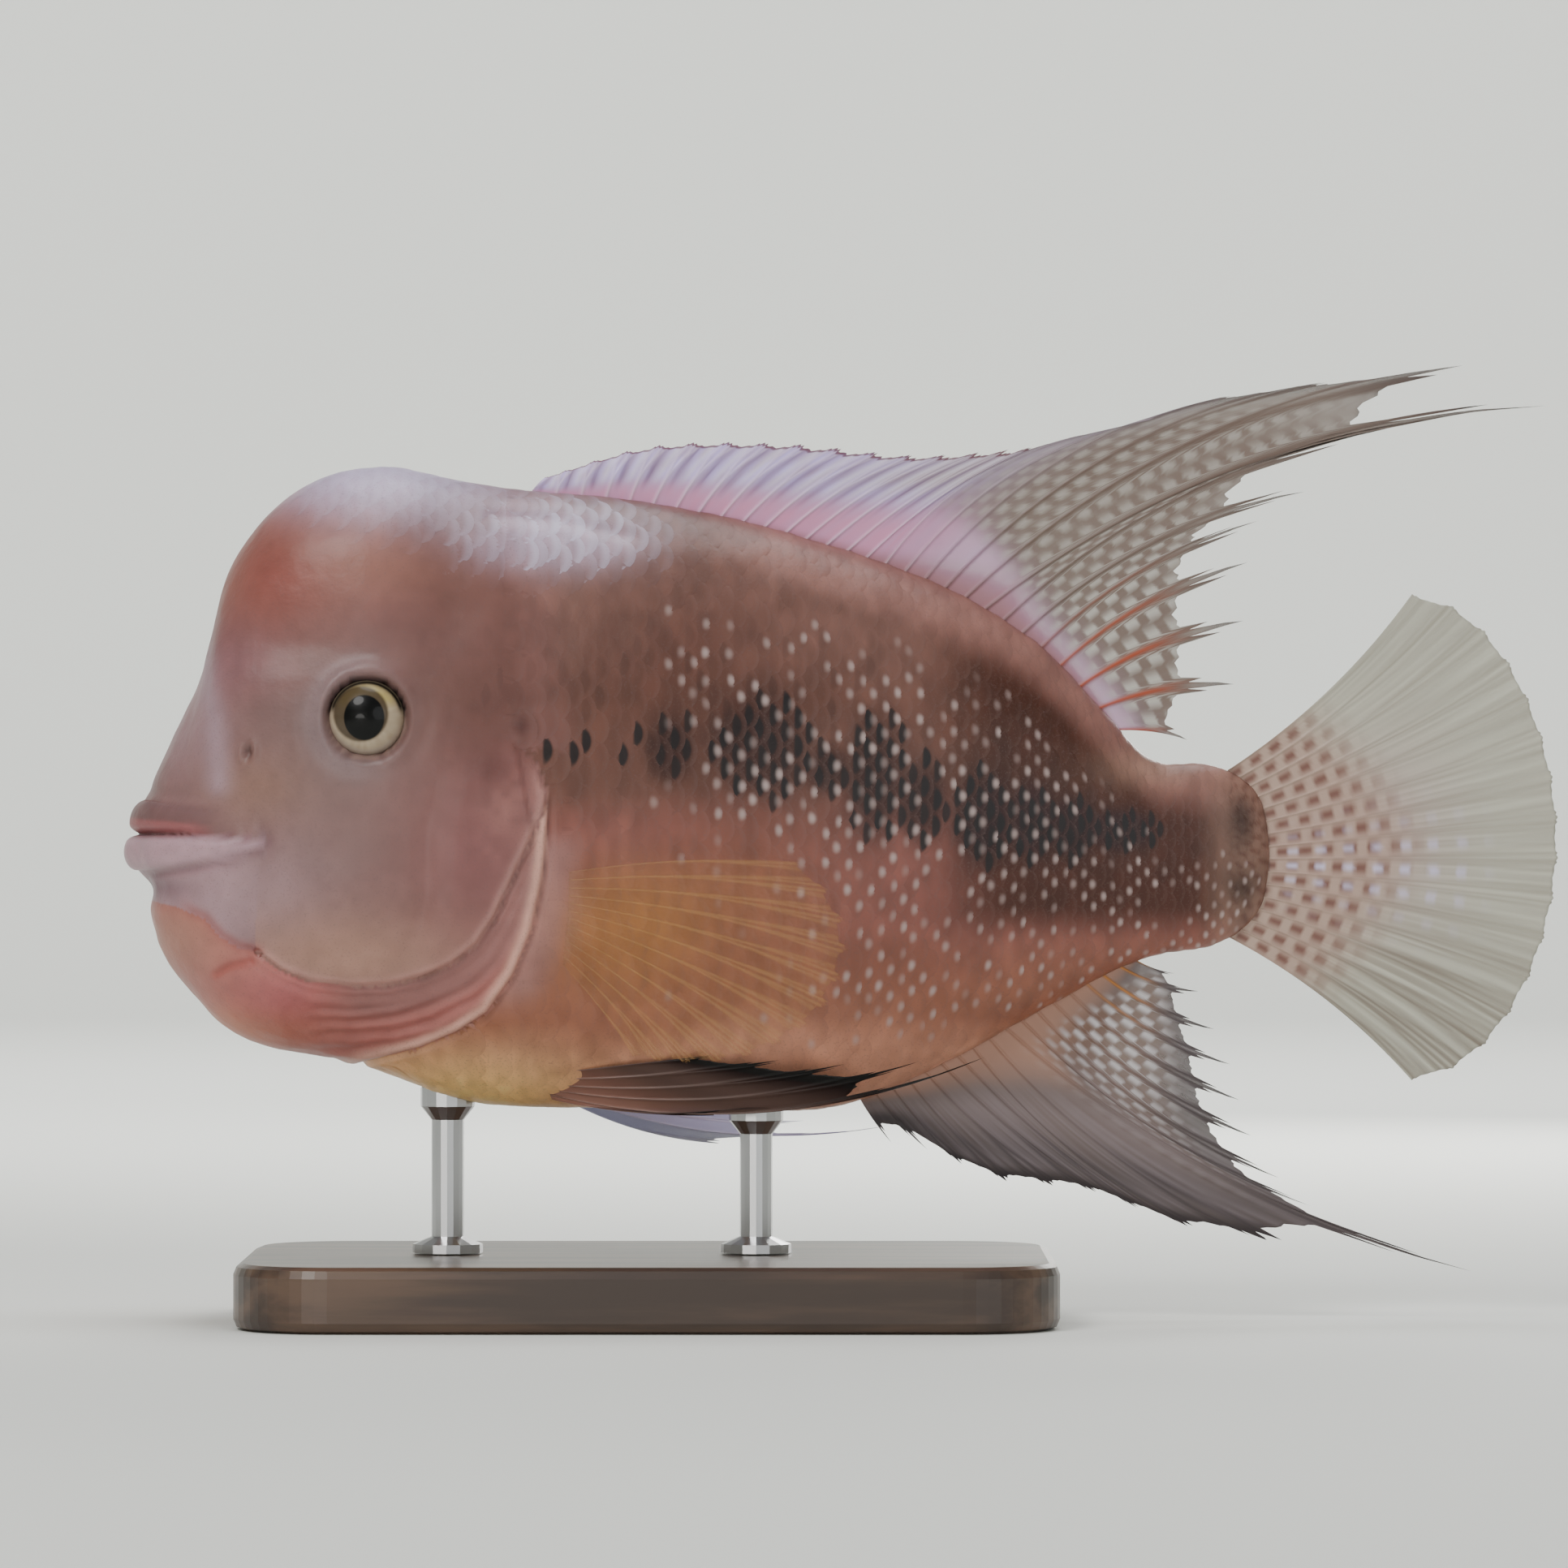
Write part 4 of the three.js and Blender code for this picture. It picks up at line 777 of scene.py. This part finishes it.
def build_fin(
    name, nodes, rays, place, paint_fin, fork=0.4, forks=2, ridge=0.42, web=0.13, rows=56, scallop=0.02
):
    """A fin on its rays, which fork at a share of their length.

    rays has each ray's base and tip in side view, its bow, and the share of it that the membrane reaches.
    place gives the depth from x, z, ray share and length share. paint_fin gives the colours and how opaque
    they are from ray coordinate, length share, bone, share of the gap between rays and distance along a ray.
    """
    base, tip, bow, reached = (np.asarray(rays[key], float) for key in ("base", "tip", "bow", "web"))
    count = len(tip)
    r = np.append((np.arange(count - 1)[:, None] + STEPS).ravel(), count - 1.0)
    i = np.clip(np.floor(r).astype(int), 0, count - 1)
    j = np.minimum(i + 1, count - 1)
    f = r - i

    def between(values):
        return (values[i].T * (1 - f) + values[j].T * f).T

    ragged = 0.5 + 0.5 * np.sin(i * 12.9898 + np.round(f * 7) * 4.1)
    web_edge = between(reached)
    web_edge -= scallop * np.sin(np.pi * f) * (0.7 + 0.6 * ragged)
    from_ray = np.minimum(f, 1 - f)
    threads = np.maximum(bell(from_ray, 0.05), (0.35 + 0.4 * ragged) * bell(from_ray - 0.12, 0.03))
    web_edge -= 0.2 * scallop * np.cos(8 * np.pi * f)
    margin = web_edge + (1 - web_edge) * threads
    share = np.linspace(0, 1, rows) ** 0.95
    v = margin[None, :] * share[:, None]
    rr, ff = np.broadcast_to(r, v.shape), np.broadcast_to(from_ray, v.shape)
    run = tip - base
    bend = 4 * bow[:, None] * run[:, ::-1] * [-1, 1]
    flat = between(base) + between(run) * v[..., None] + between(bend) * (v * (1 - v))[..., None]
    opened = smooth((v - fork) / (1 - fork))
    again = smooth((v - fork - 0.28) / (0.72 - fork)) * (forks > 1)
    width = 0.075 - 0.02 * opened
    bone = np.maximum(*(bell(ff - 0.2 * opened - 0.1 * again * leaf, width) for leaf in (-1, 1)))
    thick = web + (ridge * (1 - 0.75 * v) - web * 0.5) * bone
    thick *= 1 - 0.7 * share[:, None] ** 6
    x, z = flat[..., 0], flat[..., 1]
    y = place(x, z, rr / (count - 1), v)
    points = np.stack([np.stack([x, y + part * thick, z], axis=-1) for part in (-1, 1)])
    first = grid_faces(*v.shape)
    corner = np.arange(v.size).reshape(v.shape)
    border = np.concatenate([corner[0], corner[1:, -1], corner[-1, -2::-1], corner[-2:0:-1, 0]])
    follow = np.roll(border, -1)
    walls = np.stack([border, follow, follow + v.size, border + v.size], axis=-1)
    faces = np.concatenate([first, first[:, ::-1] + v.size, walls])
    along_ray = np.hypot(x - x[:1], z - z[:1])
    colours, alpha = paint_fin(rr, v, bone, np.broadcast_to(f, v.shape), along_ray)
    tints = np.stack([np.clip(colours - 0.01, 0.004, 1)] * 2)
    # Each face of the fin has one half of the layout.
    u = rr / (count - 1) * 0.48 + 0.01
    uv = np.stack([np.stack([u + shift, layout(v)], axis=-1) for shift in (0, 0.5)])
    extra = {"alpha": np.stack([np.clip(alpha, 0, 1)] * 2)}
    thing = add_mesh(name, points, faces.tolist(), fin_material, tints, uv, extra)
    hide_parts(*nodes)


fin_material, tree, shader = new_material(
    "fins", Roughness=0.45, Specular_IOR_Level=0.3, Coat_Weight=0.1, Coat_Roughness=0.3,
)
dress(tree, shader, attribute(tree, "coat", "Color"), 1500, 0.15, 0.0002)
tree.links.new(attribute(tree, "alpha"), shader.inputs["Alpha"])


def grain_along(r, v, seed):
    """Fine streaks that follow the rays, from 0 to 1."""
    p = np.stack([r * 5, v * 6, np.zeros_like(r) + seed], axis=-1)
    return 0.5 + 0.5 * noise(p, 1.0, seed)


def panes(r, f, reach, pitch, across=2, skew=0.9):
    """Panes between the branches of the rays, some to each gap and set like a chequerboard."""
    column = np.floor(f * across) + across * np.floor(r)
    up = np.sin(2 * np.pi * reach / pitch + np.pi * column + skew * r)
    return past(up, -0.55, 0.8) * bell((f * across) % 1 - 0.5, 0.34)


# Dorsal fin.
SPINY_MARGIN = [(76, 68.6), (95.7, 74.4), (120, 74.9), (145, 72.6), (165.5, 74)]
SOFT_TIPS = [
    (174.8, 76.2), (188.3, 79.2), (202, 83.5), (219.5, 86.1), (245.7, 89.3), (261, 81.8), (231.8, 77.6),
    (216.4, 65.9), (207.8, 60.5), (205.8, 52.8), (205, 42), (203.3, 30.3), (194.6, 20),
]
SOFT_WEBS = [0.97, 0.97, 0.97, 0.96, 0.9, 0.68, 0.7, 0.74, 0.72, 0.68, 0.66, 0.64, 0.66]
SPINES = 16
SUNK = 1.6  # how deep the rays of the back and the belly start in the flesh
dorsal_x = 72.5 + 108.5 * np.linspace(0, 1, SPINES + len(SOFT_TIPS)) ** 0.9
dorsal = {
    "base": [(x, outline_at(x, 1) - SUNK) for x in dorsal_x],
    "tip": [*along(SPINY_MARGIN, np.linspace(0, len(SPINY_MARGIN) - 1, SPINES)), *SOFT_TIPS],
    "bow": [0.05] * SPINES + [0.1 - 0.004 * i for i in range(len(SOFT_TIPS))],
    "web": [0.97] * SPINES + SOFT_WEBS,
}


def dorsal_depth(x, z, u, v):
    return 2 * np.sin((x - 60) / 24) * v * v


def paint_dorsal(r, v, bone, f, reach):
    soft = past(r, 14.5, 5)
    spiny = 1 - soft
    streak = grain_along(r, v, 31)
    fine = grain_along(r * 3, v * 0.6, 32)
    dark_streak = bell(f - 0.3, 0.13) * past(v, 0.12, 0.3)
    rear = past(r, 17, 8)
    near = soft * smooth((reach - 12 + 10 * rear) / 6) * before(v, 0.85, 0.3)
    c = painted((186, 162, 198), r.shape, [
        ((206, 188, 252), 0.9 * past(v, 0.3, 0.3) * streak * spiny),
        ((170, 156, 150), 0.7 * past(r, 9, 5) * past(v, 0.4, 0.3) * spiny),
        ((108, 76, 110), 0.8 * dark_streak * spiny * (0.5 + 0.5 * fine)),
        ((232, 224, 240), 0.55 * bell(f - 0.68, 0.12) * past(v, 0.3, 0.3) * spiny),
        ((214, 138, 172), before(v, 0.5, 0.3) * (0.55 + 0.3 * streak) * (1 - 0.5 * soft)),
        ((150, 104, 100), before(v, 0.12, 0.1) * 0.8),
        ((150, 138, 130), soft * smooth((reach - 12 + 10 * rear) / 10)),
        ((104, 82, 72), 0.5 * soft * fine * past(v, 0.2, 0.2)),
        ((112, 90, 80), 0.75 * near * (1 - 0.4 * past(v, 0.5, 0.3))),
        ((196, 192, 184), (0.55 + 0.35 * past(r, 22, 3)) * panes(r, f, reach, 4.4) * near),
        ((96, 78, 70), 0.6 * bone * soft),
        ((214, 200, 214), 0.4 * bone * spiny),
        ((176, 74, 42), 0.8 * bone * past(r, 23, 3) * before(v, 0.75, 0.4)),
        ((96, 36, 44), 0.8 * smooth((v / v[-1:] - 0.955) / 0.02) * (1 - past(r, 15, 2))),
        ((78, 66, 64), 0.8 * past(v, 0.7, 0.25) * soft),
    ])
    web = 1 - bone
    alpha = 0.98 - 0.12 * past(v, 0.4, 0.3) * web * spiny - 0.34 * soft * web * (1 - 0.5 * near)
    alpha = np.maximum(alpha, 0.98 * before(v, 0.12, 0.08))
    return c, alpha


build_fin(
    "dorsal_fin", ["dorsal_fin_spiny", "dorsal_fin_soft"], dorsal, dorsal_depth, paint_dorsal, rows=96,
    scallop=0.035,
)

# Anal fin.
ANAL_TIPS = [
    (140, -54.4), (146.6, -55.6), (153, -58.3), (161.3, -61.5), (169.8, -62.3), (177.8, -63.5),
    (185.3, -66.4), (194.7, -69.8), (209.3, -72.4), (247.3, -78.2), (217.4, -66.1), (211.7, -61),
    (206.6, -53.2), (204.4, -46.6), (202.7, -40), (199.7, -33.5), (196.8, -26.5), (192.5, -23.2),
]
ANAL_WEBS = [
    0.6, 0.62, 0.9, 0.94, 0.95, 0.95, 0.95, 0.96, 0.93, 0.72, 0.84, 0.82, 0.8, 0.78, 0.76, 0.72, 0.7, 0.7,
]
anal_x = np.linspace(133.5, 184, len(ANAL_TIPS))
anal = {
    "base": [(x, outline_at(x, -1) + SUNK) for x in anal_x],
    "tip": ANAL_TIPS,
    "bow": [-0.03] * 7 + [-0.06] * 11,
    "web": ANAL_WEBS,
}


def paint_anal(r, v, bone, f, reach):
    rear = past(r, 8, 5)
    fine = grain_along(r * 3, v * 0.6, 42)
    near = rear * past(reach, 4, 5) * before(v, 0.75, 0.3)
    first_rays = bell(r - 0.5, 2.2) * past(v, 0.2, 0.3)
    c = painted((116, 102, 99), r.shape, [
        ((172, 132, 114), before(v, 0.24, 0.2)),
        ((70, 62, 60), past(v, 0.3, 0.4) * 0.85),
        ((150, 138, 146), 0.35 * fine * past(v, 0.15, 0.2) * before(v, 0.95, 0.2)),
        ((116, 84, 66), 0.7 * near),
        ((206, 202, 206), 0.9 * panes(r, f, reach, 4.4) * near),
        ((196, 128, 50), 0.8 * bone * past(r, 13, 2) * before(v, 0.6, 0.4)),
        ((60, 52, 54), 0.6 * bone * past(v, 0.35, 0.3)),
        ((36, 30, 33), 0.8 * first_rays + 0.75 * past(v, 0.8, 0.15)),
    ])
    alpha = 0.98 - 0.24 * rear * (1 - bone) * past(v, 0.15, 0.2)
    return c, alpha


def anal_depth(x, z, u, v):
    return -2 * np.sin(4 * u + 0.6) * v * v


build_fin("anal_fin_skin", ["anal_fin"], anal, anal_depth, paint_anal, rows=84)

# Caudal fin: a fan with rounded corners.
u = np.linspace(0, 1, CAUDAL_RAYS)
angle = np.radians(CAUDAL_HALF_ANGLE * (1 - 2 * u))
reach = CAUDAL_REACH * (1 - 0.1 * np.abs(2 * u - 1) ** 6)
caudal = {
    "base": np.stack([199 + 3.5 * np.sin(np.pi * u), 12.4 - 27.2 * u], axis=-1),
    "tip": np.stack([TAIL_X + reach * np.cos(angle), TAIL_Z + reach * np.sin(angle)], axis=-1),
    "bow": 0.05 * (2 * u - 1),
    "web": np.full(CAUDAL_RAYS, 0.995),
}


def paint_caudal(r, v, bone, f, reach):
    low = past(r, 9, 5)
    fine = grain_along(r * 3, v * 0.5, 52)
    near = smooth((40 - reach - 1.6 * np.abs(r - 7.5)) / 14)
    row = bell(f - 0.5, 0.2) * smooth((np.sin(2 * np.pi * reach / 5.2) - 0.2) / 0.5) * bell(r - 8.5, 1.7)
    c = painted((200, 198, 182), r.shape, [
        ((186, 152, 154), 0.55 * bell(r - 7, 4) * before(v, 0.85, 0.4)),
        ((112, 98, 84), 0.75 * fine * (0.45 + 0.55 * low) * past(v, 0.2, 0.2)),
        ((178, 150, 136), 0.9 * near),
        ((112, 74, 66), 0.9 * near * panes(r, f, reach, 4.2, 1, 0.35)),
        ((208, 200, 226), 0.9 * row * past(reach, 6, 6) * before(v, 0.85, 0.2)),
        ((104, 76, 68), 0.5 * before(reach, 8, 8)),
        ((104, 88, 78), 0.6 * bone * past(v, 0.25, 0.3) * (0.4 + 0.6 * low)),
    ])
    alpha = 0.98 - 0.2 * past(v, 0.45, 0.4) * (1 - bone)
    return c, alpha


def caudal_depth(x, z, u, v):
    return 2.6 * np.sin(7 * u + 0.6) * v * v


build_fin(
    "caudal_fin_skin", ["caudal_fin"], caudal, caudal_depth, paint_caudal, fork=0.2, rows=96, scallop=0.004,
)

# Pectoral fins, nearly clear, held a little off the flank.
PECTORAL_X = 79
PECTORAL_REACH = np.array([44, 49, 52, 53, 52.5, 51, 48.5, 45, 41, 36.5, 31.5, 27, 22.5])
u = np.linspace(0, 1, len(PECTORAL_REACH))
angle = np.radians(3 - 55 * u)
root = np.stack([PECTORAL_X + 1.2 * np.sin(np.pi * u), -4.5 - 15.5 * u], axis=-1)
pectoral = {
    "base": root,
    "tip": root + PECTORAL_REACH[:, None] * np.stack([np.cos(angle), np.sin(angle)], axis=-1),
    "bow": np.full(len(u), 0.03),
    "web": np.full(len(u), 0.975),
}
pectoral_y = half_width_at(81, -12)


def paint_pectoral(r, v, bone, f, reach):
    c = painted((176, 122, 64), r.shape, [
        ((196, 150, 124), before(v, 0.16, 0.16)),
        ((206, 160, 100), 0.5 * bone),
    ])
    alpha = 0.05 + 0.13 * bone + 0.12 * before(v, 0.14, 0.14)
    return c, alpha


for side, name in ((-1, "left"), (1, "right")):
    def pectoral_depth(x, z, u, v, side=side):
        away = np.maximum(0, x - PECTORAL_X)
        return side * (pectoral_y - 2.2 + 4.6 * (1 - np.exp(-away / 3)) + 0.1 * away)

    build_fin(
        f"pectoral_fin_{name}_skin", [f"pectoral_fin_{name}"], pectoral, pectoral_depth, paint_pectoral,
        fork=0.3, ridge=0.3, web=0.1, rows=44, scallop=0.01,
    )

# Pelvic fins, laid back along the belly.
PELVIC_Z = -43.8
PELVIC_WEBS = [0.86, 0.68, 0.86, 0.86, 0.86, 0.86]
pelvic_y = half_width_at(78.5, PELVIC_Z)
pelvic_base = np.linspace((77.5, -46.0), (76.0, -41.2), len(PELVIC_WEBS))


def paint_pelvic_left(r, v, bone, f, reach):
    c = painted((146, 106, 94), r.shape, [
        ((98, 78, 72), past(v, 0.12, 0.35)),
        ((170, 150, 144), 0.5 * bone * before(v, 0.6, 0.4)),
        ((26, 20, 22), past(v, 0.5, 0.3)),
    ])
    return c, 0.97 - 0.2 * (1 - bone) * before(v, 0.7, 0.3)


def paint_pelvic_right(r, v, bone, f, reach):
    c = painted((170, 172, 218), r.shape, [
        ((214, 214, 238), 0.6 * bone),
        ((118, 100, 142), 0.6 * past(v, 0.7, 0.2)),
    ])
    return c, 0.97 - 0.15 * (1 - bone)


build_fin(
    "pelvic_fin_left_skin", ["pelvic_fin_left"],
    {
        "base": pelvic_base,
        "tip": [(107.3, -48.9), (156.9, -38), (144.6, -38.9), (131.3, -39.3), (119.3, -38.6), (107.3, -37.6)],
        "bow": [-0.03, -0.085, -0.06, -0.04, -0.02, 0], "web": PELVIC_WEBS,
    },
    lambda x, z, u, v: -(
        pelvic_y - 2 + 4.4 * (1 - np.exp(-v * 9)) + (z - PELVIC_Z) * 0.55 * np.minimum(1, v * 4)
    ),
    paint_pelvic_left, forks=1, ridge=0.5,
)
build_fin(
    "pelvic_fin_right_skin", ["pelvic_fin_right"],
    {
        "base": pelvic_base,
        "tip": [(108, -55.9), (139.5, -52.6), (124, -51.6), (116.3, -50.4), (108.8, -49.2), (100, -48.2)],
        "bow": [-0.06, -0.075, -0.05, -0.03, -0.02, 0], "web": PELVIC_WEBS,
    },
    lambda x, z, u, v: pelvic_y - 2 + 5 * (1 - np.exp(-v * 9)) + 15 * v**1.2,
    paint_pelvic_right, forks=1, ridge=0.5,
)

# Eyes: a glossy ball with a pale iris, a dark pupil and a thin dark line over the iris, painted shade under
# the brow.
eye_material, tree, shader = new_material(
    "eye", Roughness=0.35, Specular_IOR_Level=0.15, Coat_Weight=0.2, Coat_Roughness=0.03,
)
tree.links.new(attribute(tree, "coat", "Color"), shader.inputs["Base Color"])
for side, name in ((-1, "left"), (1, "right")):
    low, high = (np.array(c) * 1000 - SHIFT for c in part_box(f"eye_{name}"))
    centre, radii = (low + high) / 2, (high - low) / 2
    tip, turn = np.meshgrid(
        np.linspace(0.002, 1.7, 90), np.linspace(0, 2 * np.pi, 96, endpoint=False), indexing="ij"
    )
    facing = np.stack([np.sin(tip) * np.cos(turn), side * np.cos(tip), np.sin(tip) * np.sin(turn)], axis=-1)
    points = centre + facing * radii
    dx, dz = points[..., 0] - centre[0], points[..., 2] - centre[2]
    r = np.hypot(dx, dz)
    up = np.sin(turn)
    fibres = noise(np.stack([turn * 9, r * 0.7, 0 * r], axis=-1), 1.0, 71)
    pupil = np.hypot((dx + 0.35) / 0.9, dz)
    shadow = np.hypot(dx + 1.0, dz - 0.7)
    c = painted((184, 168, 144), r.shape, [
        ((150, 128, 104), 0.45 * (0.5 + 0.5 * fibres)),
        ((168, 150, 80), 0.75 * past(up, 0.2, 0.5) * bell(r - 5.2, 1.0)),
        ((176, 164, 154), 0.6 * smooth(-up) * past(r, 5.4, 0.8)),
        ((58, 44, 28), 0.9 * before(shadow, 5.4, 0.7)),
        ((0, 0, 0), before(pupil, 4.25, 0.3)),
        # The lids' edge: painted shade above, under the brow, and pale below.
        ((10, 8, 8), past(up, 0.05, 0.3) * bell(r - 6.4, 0.4)),
        ((150, 128, 120), past(r, 6.6, 0.3) * smooth(0.4 - up)),
        ((24, 18, 18), past(r, 6.6, 0.3) * past(up, -0.1, 0.4)),
    ])
    faces = grid_faces(*tip.shape, wrap=True)[:, ::-side]
    uv = 0.5 + 0.28 * np.stack([tip * np.cos(turn), tip * np.sin(turn)], axis=-1)
    eye = add_mesh(f"eyeball_{name}", points, faces.tolist(), eye_material, c, uv)
    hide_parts(f"eye_{name}")

# Stand: a dark wooden plate with its grain along it, and two steel rods.
wood, tree, shader = new_material("stand_wood", Roughness=0.4, Coat_Weight=0.3, Coat_Roughness=0.25)
place = node(tree, "ShaderNodeTexCoord").outputs["Object"]
stretched = node(tree, "ShaderNodeMapping", {"Vector": place, "Scale": (5.0, 60.0, 60.0)}).outputs[0]
year_rings = node(tree, "ShaderNodeTexNoise", {"Vector": stretched, "Scale": 3.0, "Detail": 6.0}).outputs[0]
tree.links.new(
    mix_colour(tree, ramp(tree, year_rings, 0.35, 0.7), (0.035, 0.018, 0.011), (0.1, 0.055, 0.032)),
    shader.inputs["Base Color"],
)
steel, _, _ = new_material("stand_steel", (0.55, 0.55, 0.56), Roughness=0.28, Metallic=1.0)
for name, thing in frame["nodes"].items():
    if name.startswith("stand_"):
        is_plate = name == "stand_base"
        thing.data.materials.clear()
        thing.data.materials.append(wood if is_plate else steel)
        if not is_plate:
            thing.data.shade_smooth()

# Studio: a wide pale floor that rises all round into a low wall, soft lights, and the camera at the
# photo's level view.
backdrop_material, _, _ = new_material("backdrop", (0.76, 0.77, 0.73), Roughness=0.9)
FLAT, RISE, WALL = 2.1, 0.7, 1.1  # metres: flat floor's radius, the rise's radius, the wall's height
TURNS = 64
bend = np.linspace(0.08, math.pi / 2, 14)
profile = [(1.0, 0.0), (FLAT, 0.0)]
profile += [(FLAT + RISE * math.sin(t), RISE - RISE * math.cos(t)) for t in bend]
profile += [(FLAT + RISE, WALL)]
mesh = bpy.data.meshes.new("backdrop")
corner_points = [
    (r * math.cos(a), r * math.sin(a), z) for r, z in profile for a in math.tau * np.arange(TURNS) / TURNS
]
faces = [list(range(TURNS))] + grid_faces(len(profile), TURNS, wrap=True).tolist()
mesh.from_pydata(corner_points, [], faces)
mesh.materials.append(backdrop_material)
mesh.shade_smooth()
backdrop = placed("backdrop", mesh)

# Each light's place and target, then its size in metres, its power and its colour.
for name, location, target, size, power, colour in (
    ("key", (-0.45, -0.7, 0.9), (0, 0, 0.09), 0.5, 7.4, (1.0, 0.98, 0.96)),
    ("fill", (0.7, -1.1, 0.35), (0.03, 0, 0.09), 0.9, 3, (0.96, 0.98, 1.0)),
    ("low", (-0.77, -2.3, 0.01), (0, 0, 0.07), 1.07, 19, (1.0, 0.97, 0.94)),
    ("top", (0.05, 0.1, 0.9), (0, 0, 0.09), 0.6, 4.5, (0.94, 0.96, 1.0)),
    ("back", (0.35, 0.8, 0.4), (0.06, 0, 0.1), 0.5, 5, (1.0, 0.99, 0.95)),
    ("wash", (0, 0.9, 1.3), (0, 3.0, 0.2), 1.2, 44, (1.0, 1.0, 1.0)),
):
    light = bpy.data.lights.new(name, "AREA")
    light.shape = "DISK"
    light.size, light.energy, light.color = size, power, colour
    lamp = placed(name, light)
    lamp.location = location
    lamp.rotation_euler = (Vector(target) - Vector(location)).to_track_quat("-Z", "Y").to_euler()
    lamp.visible_camera = False

world = bpy.data.worlds.new("studio")
world.use_nodes = True
world.node_tree.nodes["Background"].inputs["Color"].default_value = (0.85, 0.88, 0.86, 1)
world.node_tree.nodes["Background"].inputs["Strength"].default_value = 0.35
bpy.context.scene.world = world

camera_data = bpy.data.cameras.new("camera")
camera_data.lens, camera_data.sensor_width = 200, 36
camera = placed("camera", camera_data)
camera.location = (0.0249, -1.61, 0.09885)
camera.rotation_euler = (math.pi / 2, 0, 0)
bpy.context.scene.camera = camera
